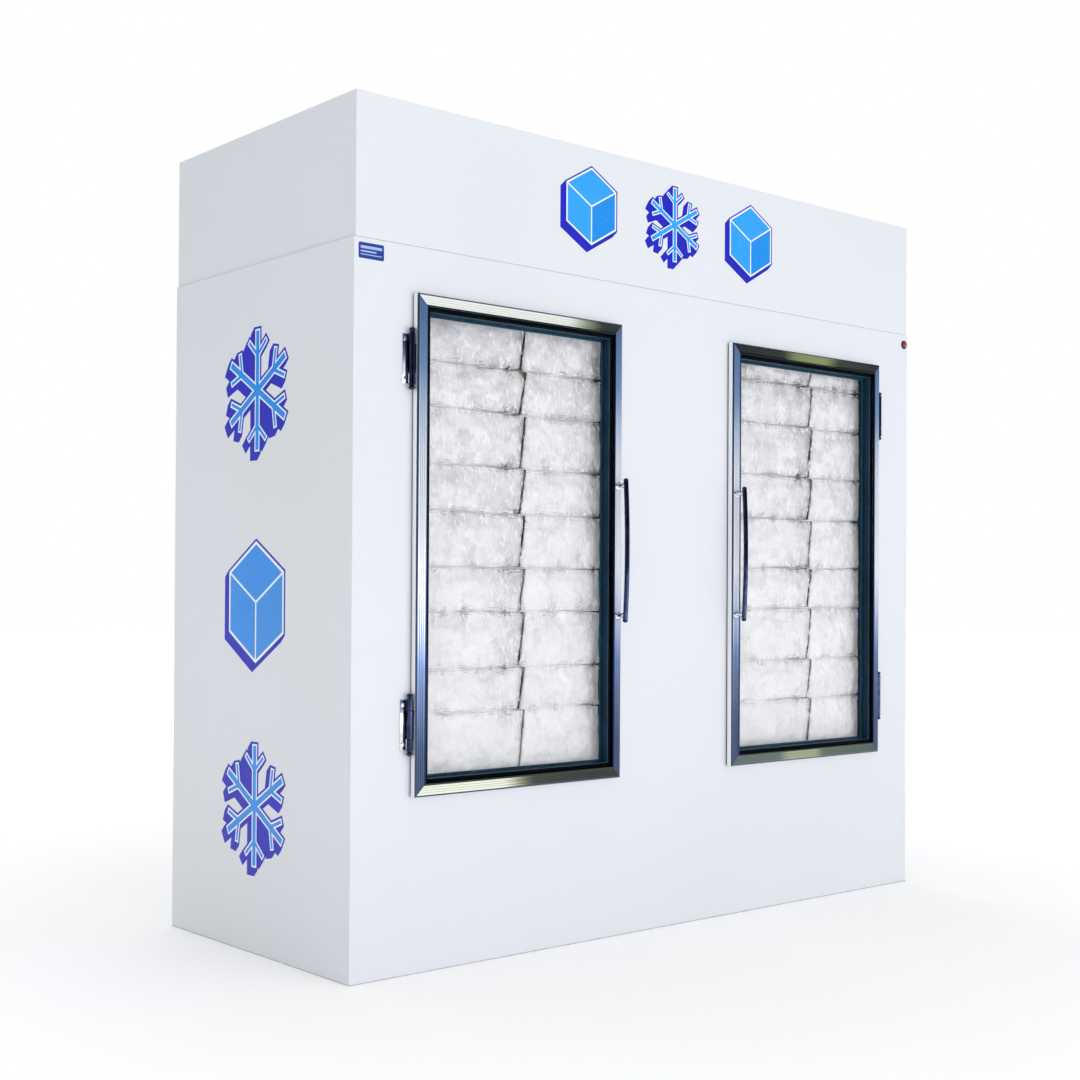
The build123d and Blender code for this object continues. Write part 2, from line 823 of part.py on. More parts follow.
# Pilot lamp and decals
def build_lamp():
    """The pilot lamp: a bezel with a barrel through the front skin, and a red lens."""
    x, z = half_width - lamp_edge_distance, seam - lamp_drop
    bezel = rod((x, front, z), (0, -1, 0), lamp_bezel_radius, lamp_bezel_height)
    bezel = bezel + rod((x, front, z), (0, 1, 0), lamp_barrel_radius, lamp_barrel_length)
    seat_y = front - lamp_seat_floor
    seat = rod((x, seat_y, z), (0, -1, 0), lamp_lens_radius, lamp_bezel_height + overrun)
    save("pilot_lamp_bezel", bezel - seat)
    rise = (lamp_lens_height - lamp_seat_floor) / 2
    lens = rod((x, seat_y, z), (0, -1, 0), lamp_lens_radius, rise)
    dome = Pos(x, seat_y - rise, z) * scale(Sphere(lamp_lens_radius), by=(1, rise / lamp_lens_radius, 1))
    save("pilot_lamp_lens", lens + dome)


def flake_outline(height):
    """A six-armed snow crystal as a flat face in the XY plane."""
    width = flake_arm_width * height / side_decal_height
    arm = Rectangle(width, height)
    face = arm + Rot(0, 0, 60) * arm + Rot(0, 0, 120) * arm
    twig = Rectangle(width * flake_twig_width_share, height * flake_twig_length_share)
    for number in range(6):
        for lean in sides:
            place = Pos(lean * height * flake_twig_side_share, height * flake_twig_reach_share, 0)
            leaning = place * Rot(0, 0, -lean * flake_twig_lean) * twig
            face = face + Rot(0, 0, 60 * number) * leaning
    return face


def cube_outline(height):
    """The outline of an ice cube seen from above a corner."""
    return Rot(0, 0, 90) * RegularPolygon(height / 2, 6)


def decal(outline, height, frame_plane):
    """A vinyl motif with its drop shadow, laid on a face."""
    shape = outline(height)
    shadow = Pos(-decal_shadow, -decal_shadow, 0) * shape
    return extrude(frame_plane * (shape + shadow), amount=vinyl_thickness)


def build_decals():
    """Generic ice-cube and snow-crystal motifs on the header and on both sides."""
    motifs = []
    z = cabinet_height - header_decal_drop
    for place, outline in ((-1, cube_outline), (0, flake_outline), (1, cube_outline)):
        origin = (place * header_decal_spacing, front, z)
        face = Plane(origin=origin, x_dir=(1, 0, 0), z_dir=(0, -1, 0))
        motifs.append(decal(outline, header_decal_height, face))
    for side in sides:
        for share, outline in zip(side_decal_place_shares, (flake_outline, cube_outline, flake_outline)):
            origin = (side * half_width, 0, share * seam)
            face = Plane(origin=origin, x_dir=(0, side, 0), z_dir=(side, 0, 0))
            motifs.append(decal(outline, side_decal_height, face))
    save("vinyl_decals", *motifs)


# Drain and cable gland
def drain_place():
    """The drain tube's axis where it leaves the drip tray."""
    height = evaporator_low - drip_tray_height + drain_lift
    return evaporator_half - drain_end_distance, evaporator_back, height


def build_drain_hole():
    """The hole through the rear wall for the drain tube."""
    x, _, z = drain_place()
    start = (x, store_back - overrun, z)
    return rod(start, (0, 1, 0), drain_radius + fit_gap, wall_thickness + 2 * overrun)


def build_drain_tube():
    """A straight tube from the drip tray out through the rear wall, with a collar against the skin."""
    x, y, z = drain_place()
    collar_out = back + drain_collar_thickness
    length = collar_out + drain_reach - y
    tube = rod((x, y, z), (0, 1, 0), drain_radius, length)
    tube = tube + rod((x, back, z), (0, 1, 0), drain_collar_radius, drain_collar_thickness)
    bore_radius = drain_radius - drain_wall
    save("drain_tube", tube - rod((x, y - overrun, z), (0, 1, 0), bore_radius, length + 2 * overrun))


def gland_place():
    """The centre of the gland's bore on the rear grille's outer face."""
    return gland_edge_distance - hood_half, back, seam + hood_seam + gland_rise


def build_gland():
    """A cable gland through the rear grille: a collar outside and a nut inside."""
    x, y, z = gland_place()
    collar = rod((x, y, z), (0, 1, 0), gland_collar_radius, gland_length)
    stem = rod((x, y, z), (0, -1, 0), gland_body_radius, skin_thickness + gland_nut_length)
    nut = rod((x, y - skin_thickness, z), (0, -1, 0), gland_nut_radius, gland_nut_length)
    bore_start = (x, y + gland_length + overrun, z)
    bore_length = gland_length + skin_thickness + gland_nut_length + 2 * overrun
    save("cord_gland", collar + stem + nut - rod(bore_start, (0, -1, 0), gland_bore_radius, bore_length))


# Condensing unit
def build_condensing_unit():
    """Everything that stands on the tray on the deck."""
    outer = between((tray_left, tray_right), (tray_front, tray_back), (seam, tray_top + tray_rim))
    rim = tray_thickness
    hollow = between(
        (tray_left + rim, tray_right - rim),
        (tray_front + rim, tray_back - rim),
        (tray_top, tray_top + tray_rim + overrun),
    )
    save("condensing_tray", outer - hollow)

    shell = Part() + rod((compressor_x, 0, shell_base), (0, 0, 1), compressor_radius, compressor_height)
    shell = fillet(shell.edges().group_by(Axis.Z)[-1], compressor_crown)
    plate_z = (shell_base - foot_thickness, shell_base)
    half_x, half_y = foot_width / 2, foot_length / 2
    plate = between((compressor_x - half_x, compressor_x + half_x), (-half_y, half_y), plate_z)
    box_x = (compressor_x - terminal_width / 2, compressor_x + terminal_width / 2)
    box_low = shell_base + compressor_crown
    box_y = (-compressor_radius - terminal_depth, 0)
    terminal = between(box_x, box_y, (box_low, box_low + terminal_height))
    compressor = shell + plate + terminal
    for stub in (discharge_stub(), suction_stub()):
        compressor = compressor + rod(stub[0], stub[1], stub_radius, 2 * stub_length)
    save("compressor", compressor)
    grommets = []
    for side in sides:
        for step in sides:
            x = compressor_x + side * (half_x - grommet_radius)
            y = step * (half_y - grommet_radius)
            grommets.append(rod((x, y, tray_top), (0, 0, 1), grommet_radius, grommet_height))
    save("compressor_grommets", *grommets)

    coil_z = (tray_top, condenser_top)
    coil = between((condenser_left, condenser_right), (condenser_front, condenser_back), coil_z)
    save("condenser_coil", coil)

    shroud = between((condenser_left, condenser_right), (shroud_front, condenser_front), coil_z)
    rim = housing_thickness
    inside = between(
        (condenser_left + rim, condenser_right - rim),
        (shroud_front + rim, condenser_front + overrun),
        (coil_z[0] + rim, coil_z[1] - rim),
    )
    middle_z = (coil_z[0] + coil_z[1]) / 2
    fan_centre = (condenser_middle, shroud_front, middle_z)
    ring_start = (condenser_middle, shroud_front - overrun, middle_z)
    ring = rod(ring_start, (0, 1, 0), condenser_fan_radius + fan_ring_clearance, 2 * overrun)
    save("condenser_shroud", shroud - inside - ring)
    save("condenser_fan", axial_fan(fan_centre, -1, condenser_fan_radius))

    tank_start = (receiver_left, receiver_y, receiver_z)
    tank = Part() + rod(tank_start, (1, 0, 0), receiver_radius, receiver_length)
    tank = fillet(tank.edges(), receiver_end_radius)
    for share in saddle_place_shares:
        x = receiver_left + share * receiver_length
        saddle_x = (x - saddle_thickness / 2, x + saddle_thickness / 2)
        half = receiver_radius * saddle_width_share
        tank = tank + between(saddle_x, (receiver_y - half, receiver_y + half), (tray_top, receiver_z))
    save("liquid_receiver", tank)
    return fan_motor(fan_centre, -1, condenser_fan_radius)


def discharge_stub():
    """Where the discharge line starts: a stub on the compressor's right side."""
    z = shell_base + compressor_height - compressor_crown - 2 * stub_radius
    return (compressor_x + compressor_radius - stub_length, 0, z), (1, 0, 0)


def suction_stub():
    """Where the suction line ends: a stub on the compressor's left side."""
    z = shell_base + compressor_height - compressor_crown - 2 * stub_radius
    return (compressor_x - compressor_radius + stub_length, 0, z), (-1, 0, 0)


def line_drops():
    """The two places where lines go down through the deck, the foam and the ceiling."""
    x, half = tray_left - line_rise, line_rise / 2
    return (x, coil_middle_y + half, suction_radius), (x, coil_middle_y - half, liquid_radius)


def build_line_holes():
    """The holes for the two lines through the insulated top and the evaporator's housing."""
    low = store_ceiling - housing_thickness - overrun
    length = wall_thickness + housing_thickness + 2 * overrun
    suction, liquid = [rod((x, y, low), (0, 0, 1), radius + fit_gap, length) for x, y, radius in line_drops()]
    return suction + liquid


def tube(points, radius):
    """A round tube's solid along straight runs with one bend radius."""
    path = FilletPolyline(*points, radius=line_bend)
    section = Plane(origin=path @ 0, z_dir=path % 0) * Circle(radius)
    return sweep(section, path=path)


def build_refrigerant_lines():
    """Copper lines: discharge, condenser to receiver, receiver to evaporator, and suction."""
    (stub_x, _, stub_z), _ = discharge_stub()
    gas_x = stub_x + 2 * stub_length
    gap_x = (gas_x + condenser_left) / 2
    coil_y = (condenser_front + condenser_back) / 2
    discharge = [
        (gas_x, 0, stub_z),
        (gap_x, 0, stub_z),
        (gap_x, coil_y, stub_z),
        (condenser_left, coil_y, stub_z),
    ]
    condensate = [
        (condenser_left, coil_y, receiver_z),
        (gap_x, coil_y, receiver_z),
        (gap_x, receiver_y, receiver_z),
        (receiver_left, receiver_y, receiver_z),
    ]
    (suction_x, suction_y, _), (liquid_x, liquid_y, _) = line_drops()
    out_x = receiver_left + receiver_length
    turn_x = out_x + line_bend + line_rise / 2
    lane_y = receiver_y - receiver_radius - line_rise / 2
    liquid = [
        (out_x, receiver_y, receiver_z),
        (turn_x, receiver_y, receiver_z),
        (turn_x, lane_y, receiver_z),
        (liquid_x, lane_y, receiver_z),
        (liquid_x, liquid_y, receiver_z),
        (liquid_x, liquid_y, coil_top),
    ]
    (stub_x, _, stub_z), _ = suction_stub()
    suction = [
        (suction_x, suction_y, coil_top),
        (suction_x, suction_y, stub_z),
        (suction_x, 0, stub_z),
        (stub_x - 2 * stub_length, 0, stub_z),
    ]
    save(
        "refrigerant_lines",
        tube(discharge, discharge_radius),
        tube(condensate, liquid_radius),
        tube(liquid, liquid_radius),
        tube(suction, suction_radius),
    )


# Evaporator under the ceiling
def build_evaporator():
    """The housing with two fan rings, the coil on its hangers, the fans and the drip tray."""
    half, near, far, low = evaporator_half, evaporator_front, evaporator_back, evaporator_low
    rim = housing_thickness
    shell = between((-half, half), (near, far), (low, store_ceiling))
    inside_z = (low - overrun, store_ceiling - rim)
    inside = between((rim - half, half - rim), (near + rim, far - rim), inside_z)
    housing = shell - inside - build_line_holes()
    plate = near + rim
    middle_z = low + evaporator_height / 2
    ring_radius = evaporator_fan_radius + fan_ring_clearance
    motors = []
    for side, prefix in zip(sides, ("left", "right")):
        x = side * (half - evaporator_fan_end_distance)
        ring_start = (x, near - overrun, middle_z)
        housing = housing - rod(ring_start, (0, 1, 0), ring_radius, rim + 2 * overrun)
        save(f"{prefix}_evaporator_fan", axial_fan((x, plate, middle_z), 1, evaporator_fan_radius))
        motors.append(fan_motor((x, plate, middle_z), 1, evaporator_fan_radius))
    save("evaporator_housing", housing)

    coil_half = half - rim - coil_end_gap
    coil_ys = (coil_middle_y - coil_depth / 2, coil_middle_y + coil_depth / 2)
    coil = between((-coil_half, coil_half), coil_ys, (low + coil_lift, coil_top))
    for side in sides:
        hanger_x = (side * coil_half, side * (coil_half - coil_hanger_width))
        coil = coil + between(hanger_x, coil_ys, (coil_top, store_ceiling - rim))
    save("evaporator_coil", coil)

    outer = between((-half, half), (near, far), (low - drip_tray_height, low))
    hollow = between(
        (rim - half, half - rim), (near + rim, far - rim), (low - drip_tray_height + rim, low + overrun)
    )
    x, y, z = drain_place()
    outlet = rod((x, y + overrun, z), (0, -1, 0), drain_radius - drain_wall, 2 * overrun)
    save("drip_tray", outer - hollow - outlet)
    return motors


# Control box
def build_controls():
    """The control box on the deck with its thermostat knob and rocker switch."""
    left, right = control_left, control_left + control_width
    face, rim = control_face, control_wall
    zone = (seam, seam + control_height)
    middle = (zone[0] + zone[1]) / 2
    shell = between((left, right), (face + rim, face + control_depth), zone)
    inside = between(
        (left + rim, right - rim), (face, face + control_depth - rim), (zone[0] + rim, zone[1] - rim)
    )
    cover = between((left, right), (face, face + rim), zone)

    knob_x = left + knob_side_share * control_width
    knob_back = face - fit_gap
    knob = rod((knob_x, knob_back, middle), (0, -1, 0), knob_radius, knob_length)
    shaft_length = fit_gap + rim + knob_shaft_length
    knob = knob + rod((knob_x, knob_back, middle), (0, 1, 0), knob_shaft_radius, shaft_length)
    save("thermostat_knob", knob)
    bore_depth = 2 * rim + knob_shaft_length
    bore = rod((knob_x, face, middle), (0, 1, 0), knob_shaft_radius + pin_clearance, bore_depth)
    half = thermostat_size / 2
    sensor = between(
        (knob_x - half, knob_x + half), (face + rim, face + rim + half), (middle - half, middle + half)
    )

    switch_x = left + switch_side_share * control_width
    half_x, half_z = switch_width / 2, switch_height / 2
    body = between(
        (switch_x - half_x, switch_x + half_x),
        (face, face + switch_depth),
        (middle - half_z, middle + half_z),
    )
    inner_x, inner_z = half_x - switch_wall, half_z - switch_wall
    well_y = (face - overrun, face + switch_depth - switch_wall)
    well = between((switch_x - inner_x, switch_x + inner_x), well_y, (middle - inner_z, middle + inner_z))
    rocker_x, rocker_z = inner_x - rocker_gap, inner_z - rocker_end_gap
    tilt = Pos(switch_x, rocker_pivot_y, middle) * Rot(rocker_tilt, 0, 0)
    rocker = tilt * Box(2 * rocker_x, rocker_depth, 2 * rocker_z)
    pin_start = (switch_x - half_x, rocker_pivot_y, middle)
    pin = rod(pin_start, (1, 0, 0), rocker_pin_radius, switch_width)
    bearing = rod(pin_start, (1, 0, 0), rocker_pin_radius + pin_clearance, switch_width)
    save("switch_rocker", rocker + pin)
    cover = cover - body - bore
    save("control_box", shell - inside, cover, sensor - bore, body - well - bearing)


def main():
    os.makedirs("parts", exist_ok=True)
    build_shell()
    build_liner()
    build_hood()
    build_doors()
    build_hinge_fixings()
    build_store()
    build_lamp()
    build_decals()
    build_drain_tube()
    build_gland()
    build_controls()
    condenser_motor = build_condensing_unit()
    build_refrigerant_lines()
    save("fan_motors", condenser_motor, *build_evaporator())


if __name__ == "__main__":
    main()
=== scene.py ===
"""Dresses the packed ice merchandiser: detailed pieces, finishes, camera and studio light.

Metres, in the frame of the CAD: X across the front, Y to the back, Z up, with the doors on the minus Y side.
"""

import json
import logging
import math
from collections.abc import Callable, Iterable, Sequence
from dataclasses import dataclass, field
from enum import Enum, IntEnum

import bmesh
import bpy
import numpy as np
from bmesh.types import BMEdge, BMesh, BMFace, BMVert
from mathutils import Matrix, Vector, noise
from mathutils.geometry import delaunay_2d_cdt


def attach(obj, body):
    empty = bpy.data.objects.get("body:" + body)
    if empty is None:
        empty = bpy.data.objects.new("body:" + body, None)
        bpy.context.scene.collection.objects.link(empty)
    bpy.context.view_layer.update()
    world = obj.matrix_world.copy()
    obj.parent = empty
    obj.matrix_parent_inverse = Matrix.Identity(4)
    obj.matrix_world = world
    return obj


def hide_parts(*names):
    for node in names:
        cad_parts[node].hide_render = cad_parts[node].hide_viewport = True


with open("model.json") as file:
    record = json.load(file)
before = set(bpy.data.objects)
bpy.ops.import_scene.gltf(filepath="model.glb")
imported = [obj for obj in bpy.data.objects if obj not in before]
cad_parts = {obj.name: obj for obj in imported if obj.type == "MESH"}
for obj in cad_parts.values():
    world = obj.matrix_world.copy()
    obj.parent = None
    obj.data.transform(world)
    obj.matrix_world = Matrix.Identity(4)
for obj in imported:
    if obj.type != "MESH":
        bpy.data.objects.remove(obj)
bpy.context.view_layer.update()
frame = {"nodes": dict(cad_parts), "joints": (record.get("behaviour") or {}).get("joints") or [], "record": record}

log = logging.getLogger("ice_merchandiser")

Point = Sequence[float]
Socket = bpy.types.NodeSocket
MM = 0.001


def extent(node: str) -> list[tuple[float, float]]:
    """Measures a CAD node.

    Args:
        node: The node's name.

    Returns:
        Its lowest and highest place along X, Y and Z, to a tenth of a millimetre.
    """
    places = [vert.co for vert in frame["nodes"][node].data.vertices]
    return [(round(min(axis), 4), round(max(axis), 4)) for axis in zip(*places)]


def midpoint(node: str, axis: int) -> float:
    """The middle of a CAD node along the axis with this number."""
    return round(sum(extent(node)[axis]) / 2, 4)


# The places of the CAD that the scene's own pieces are built to. The left door mirrors the right one's.
FACE_Y = extent("front_panel")[1][0]
BACK_Y = extent("rear_panel")[1][1]
SIDE_X = extent("side_panels")[0][1]
(DOOR_INNER, DOOR_OUTER), _, (DOOR_LOW, DOOR_HIGH) = extent("right_door_stiles")
DOOR_WIDTH, DOOR_HEIGHT = round(DOOR_OUTER - DOOR_INNER, 4), round(DOOR_HIGH - DOOR_LOW, 4)
DOOR_MIDDLE = midpoint("right_door_stiles", 0)
JAMB_X = extent("door_jambs")[0][1]
JAMB_LOW = extent("door_jambs")[2][0]
_, (BAG_FRONT, _), (BAG_LOW, BAG_HIGH) = extent("bagged_ice")
HINGE_X, HINGE_Y, _ = next(row["pos_m"] for row in frame["joints"] if row["name"] == "right_door_hinge")
LEAF_HALF = 33 * MM
LEAF_LOW, LEAF_HIGH = extent("right_hinge_leaves")[2]
HINGE_HEIGHTS = (round(LEAF_LOW + LEAF_HALF, 4), round(LEAF_HIGH - LEAF_HALF, 4))


class Axis(Enum):
    """The direction that a bar or a sheet was drawn along."""

    X = (1.0, 0.0, 0.0)
    Z = (0.0, 0.0, 1.0)


def linear(hex_colour: str) -> tuple[float, float, float, float]:
    """Turns an sRGB hex value into linear light.

    Args:
        hex_colour: Six hex digits after a hash sign.

    Returns:
        Red, green, blue and an alpha of 1.
    """
    parts = [int(hex_colour[place : place + 2], 16) / 255 for place in (1, 3, 5)]
    shares = [part / 12.92 if part <= 0.04045 else ((part + 0.055) / 1.055) ** 2.4 for part in parts]
    return (*shares, 1.0)


# Materials


# The whole of a value from 0 to 1, and the part of it that a noise mostly keeps to.
WHOLE = (0.0, 1.0)
MIDDLE_TONES = (0.3, 0.7)


class Graph:
    """The node tree of one material or of the world."""

    def __init__(self, owner: bpy.types.Material | bpy.types.World) -> None:
        """Starts an empty tree.

        Args:
            owner: The material or the world that gets it.
        """
        owner.use_nodes = True
        self.tree = owner.node_tree
        self.tree.nodes.clear()

    def add(
        self,
        kind: str,
        inputs: dict,
        out: int | str = 0,
        stops: Sequence[tuple[float, str]] = (),
        **settings: object,
    ) -> Socket | None:
        """Adds a node with its settings and links.

        Args:
            kind: The node's type, without the words that all types start with.
            inputs: Values, hex colours or sockets, by the input's name or number.
            out: The output that is wanted, by name or number.
            stops: Places and hex colours, for a node with a colour ramp.
            **settings: The node's own properties.

        Returns:
            The wanted output, or nothing for the tree's last node.
        """
        node = self.tree.nodes.new(f"ShaderNode{kind}")
        for name, value in settings.items():
            setattr(node, name, value)
        for key, value in inputs.items():
            if isinstance(value, bpy.types.NodeSocket):
                self.tree.links.new(value, node.inputs[key])
            else:
                node.inputs[key].default_value = linear(value) if isinstance(value, str) else value
        for number, (place, colour) in enumerate(stops):
            elements = node.color_ramp.elements
            element = elements[number] if number < len(elements) else elements.new(place)
            element.position = place
            element.color = linear(colour)
        return node.outputs[out] if node.outputs else None

    def cells(self, size: float, along: Axis | None = None, stretch: float = 1.0) -> dict:
        """A pattern's inputs, with object coordinates counted in the pattern's own size.

        Args:
            size: The size of one cell of the pattern, in metres.
            along: The direction that the pattern is drawn out along.
            stretch: How many times longer it is along that direction.

        Returns:
            The scaled coordinates and a scale of 1, by the names of the pattern's inputs.
        """
        parts = along.value if along else (0.0, 0.0, 0.0)
        scale = [1 / size / (stretch if part else 1) for part in parts]
        source = self.add("TexCoord", {}, "Object")
        return {"Vector": self.add("Mapping", {"Vector": source, "Scale": scale}), "Scale": 1.0}

    def noise(
        self, size: float, detail: float = 2.0, along: Axis | None = None, stretch: float = 1.0
    ) -> Socket:
        """Noise of this size in metres, which may be drawn out along a direction."""
        return self.add("TexNoise", {**self.cells(size, along, stretch), "Detail": detail})

    def ranged(self, value: Socket, ends: Point = WHOLE, span: Point = MIDDLE_TONES) -> Socket:
        """Turns a value's span into a range with these ends, and keeps it in there."""
        return self.add("MapRange", dict(enumerate((value, *span, *ends))))

    def blend(
        self, share: Socket | float, first: Socket | str, second: Socket | str, way: str = "MIX"
    ) -> Socket:
        """Mixes two colours by the share of the second."""
        return self.add("Mix", {0: share, 6: first, 7: second}, 2, data_type="RGBA", blend_type=way)

    def bump(self, height: Socket, depth: float) -> Socket:
        """A relief of this depth in metres."""
        return self.add("Bump", {"Height": height, "Distance": depth})

    def math(self, operation: str, *terms: Socket | float) -> Socket:
        """Works out a sum, a product and the like."""
        return self.add("Math", dict(enumerate(terms)), operation=operation)


@dataclass(frozen=True)
class Finish:
    """A finish with its colour and how smooth it is."""

    name: str
    colour: str
    roughness: float = 0.4

    def material(self) -> bpy.types.Material:
        """Returns the material, made once.

        Returns:
            The material, the same one at each call.
        """
        made = bpy.data.materials.get(self.name)
        if made is None:
            made = bpy.data.materials.new(self.name)
            graph = Graph(made)
            shader = graph.add("BsdfPrincipled", self.look(graph))
            graph.add("OutputMaterial", {"Surface": shader})
        return made

    def look(self, graph: Graph) -> dict:
        """Works out what the finish's shader is fed with.

        Args:
            graph: The material's node tree.

        Returns:
            The shader's inputs, each a value or a socket.
        """
        raise NotImplementedError

    def gloss(
        self, graph: Graph, value: Socket, less: float, more: float, span: Point = MIDDLE_TONES
    ) -> Socket:
        """A roughness that follows a value, from somewhat less than the finish's own to somewhat more."""
        return graph.ranged(value, (self.roughness - less, self.roughness + more), span)


@dataclass(frozen=True)
class PowderCoat(Finish):
    """Powder coat on sheet steel: even and satin, with a fine orange peel."""

    shade: str = "#DDE3EA"
    cloud: float = 900 * MM
    wear: float = 60 * MM
    peel: float = 2.4 * MM
    peel_depth: float = 0.04 * MM

    def look(self, graph: Graph) -> dict:
        """The shader's inputs, each a value or a socket."""
        tones = graph.ranged(graph.noise(self.cloud, 1.0))
        return {
            "Base Color": graph.blend(tones, self.colour, self.shade),
            "Roughness": self.gloss(graph, graph.noise(self.wear), 0.04, 0.05),
            "Normal": graph.bump(graph.noise(self.peel, 1.0), self.peel_depth),
        }


@dataclass(frozen=True)
class Galvanised(Finish):
    """Hot-dip galvanised sheet: zinc spangles a few millimetres wide, each with its own tone."""

    spangle: float = 11 * MM
    grain: float = 3 * MM
    grain_depth: float = 0.03 * MM
    tone: str = "#C9CED2"

    def look(self, graph: Graph) -> dict:
        """The shader's inputs, each a value or a socket."""
        spangles = graph.add("TexVoronoi", graph.cells(self.spangle), "Color")
        tone = graph.add("SeparateColor", {0: spangles})
        return {
            "Base Color": graph.blend(tone, self.colour, self.tone),
            "Metallic": 1.0,
            "Roughness": self.gloss(graph, tone, 0.1, 0.12, WHOLE),
            "Normal": graph.bump(graph.noise(self.grain), self.grain_depth),
        }


@dataclass(frozen=True)
class StuccoSheet(Finish):
    """Embossed aluminium liner sheet: a rolled pebble relief that scatters its highlights."""

    pebble: float = 8 * MM
    pebble_depth: float = 0.5 * MM
    cloud: float = 120 * MM
    tone: str = "#E4E7E9"

    def look(self, graph: Graph) -> dict:
        """The shader's inputs, each a value or a socket."""
        pebbles = graph.add("TexVoronoi", graph.cells(self.pebble), feature="SMOOTH_F1")
        clouds = graph.noise(self.cloud)
        return {
            "Base Color": graph.blend(clouds, self.colour, self.tone),
            "Metallic": 1.0,
            "Roughness": self.gloss(graph, clouds, 0.06, 0.08),
            "Normal": graph.bump(pebbles, self.pebble_depth),
        }


@dataclass(frozen=True)
class DrawnMetal(Finish):
    """Metal drawn or rolled through a die: fine lines that run along it and streak its reflections.

    The bands are painted reflections: tones set into the colour from one end of the bar to the other, each at its
    share of the zone. The lines are many times as long as they are wide, and swing the bands' ends by up to the
    swing.
    """

    along: Axis = Axis.Z
    line: float = 1.2 * MM
    tone: str = "#FFFFFF"
    metallic: float = 1.0
    zone: tuple[float, float] = (0.0, 1.0)
    bands: tuple = ((0.0, "#FFFFFF"), (1.0, "#FFFFFF"))
    line_stretch: float = 400.0
    line_depth: float = 0.03 * MM
    swing: float = 20 * MM
    patch: float = 50 * MM
    patch_stretch: float = 6.0

    def look(self, graph: Graph) -> dict:
        """The shader's inputs, each a value or a socket."""
        lines = graph.noise(self.line, along=self.along, stretch=self.line_stretch)
        patches = graph.noise(self.patch, along=self.along, stretch=self.patch_stretch)
        colour = graph.blend(graph.ranged(lines), self.colour, self.tone)
        source = graph.add("TexCoord", {}, "Object")
        place = graph.add("SeparateXYZ", {0: source}, self.along.value.index(1.0))
        streaky = graph.math("ADD", place, graph.ranged(lines, (-self.swing, self.swing)))
        # Painted reflections: the bands set the tones that the bar would mirror into its colour.
        bands = graph.add("ValToRGB", {0: graph.ranged(streaky, span=self.zone)}, stops=self.bands)
        return {
            "Base Color": graph.blend(1.0, colour, bands, "MULTIPLY"),
            "Metallic": self.metallic,
            "Roughness": self.gloss(graph, patches, 0.03, 0.05),
            "Normal": graph.bump(lines, self.line_depth),
        }


@dataclass(frozen=True)
class PlatedMetal(Finish):
    """Plated metal, such as chrome or bright zinc: a mirror with faint smears from handling."""

    smear: float = 0.05
    tone: str = "#F2F4F6"
    smear_size: float = 18 * MM
    wave: float = 9 * MM
    wave_depth: float = 0.02 * MM

    def look(self, graph: Graph) -> dict:
        """The shader's inputs, each a value or a socket."""
        smears = graph.ranged(graph.noise(self.smear_size, 4.0))
        return {
            "Base Color": graph.blend(smears, self.colour, self.tone),
            "Metallic": 1.0,
            "Roughness": self.gloss(graph, smears, 0.0, self.smear, WHOLE),
            "Normal": graph.bump(graph.noise(self.wave), self.wave_depth),
        }


@dataclass(frozen=True)
class Moulded(Finish):
    """Moulded plastic or rubber: an even colour with a fine eroded grain and slight flow marks."""

    shade: str = "#000000"
    flow: float = 80 * MM
    wear: float = 15 * MM
    grain: float = 1.1 * MM
    grain_depth: float = 0.05 * MM
    sheen: float = 0.5

    def look(self, graph: Graph) -> dict:
        """The shader's inputs, each a value or a socket."""
        flow = graph.ranged(graph.noise(self.flow, 3.0))
        return {
            "Base Color": graph.blend(flow, self.colour, self.shade),
            "Roughness": self.gloss(graph, graph.noise(self.wear), 0.04, 0.08),
            "Specular IOR Level": self.sheen,
            "Normal": graph.bump(graph.noise(self.grain), self.grain_depth),
        }


@dataclass(frozen=True)
class Foam(Finish):
    """Rigid polyurethane foam: open skin with fine pores."""

    pore: float = 1.6 * MM
    pore_depth: float = 0.6 * MM
    cloud: float = 40 * MM
    tone: str = "#C9B57C"

    def look(self, graph: Graph) -> dict:
        """The shader's inputs, each a value or a socket."""
        pores = graph.add("TexVoronoi", graph.cells(self.pore))
        return {
            "Base Color": graph.blend(graph.noise(self.cloud), self.colour, self.tone),
            "Roughness": graph.ranged(pores, (self.roughness, 1.0), WHOLE),
            "Normal": graph.bump(pores, self.pore_depth),
        }


@dataclass(frozen=True)
class FloatGlass(Finish):
    """Clear float glass: nearly all light goes straight through, and the surface keeps a sharp gloss."""

    tone: str = "#10262B"
    film: float = 250 * MM
    film_depth: float = 0.02 * MM
    cover: float = 0.01

    def look(self, graph: Graph) -> dict:
        """The shader's inputs, each a value or a socket."""
        film = graph.noise(self.film)
        return {
            "Base Color": graph.blend(film, self.colour, self.tone),
            "Roughness": self.roughness,
            "Alpha": self.cover,
            "IOR": 1.45,
            "Normal": graph.bump(film, self.film_depth),
        }


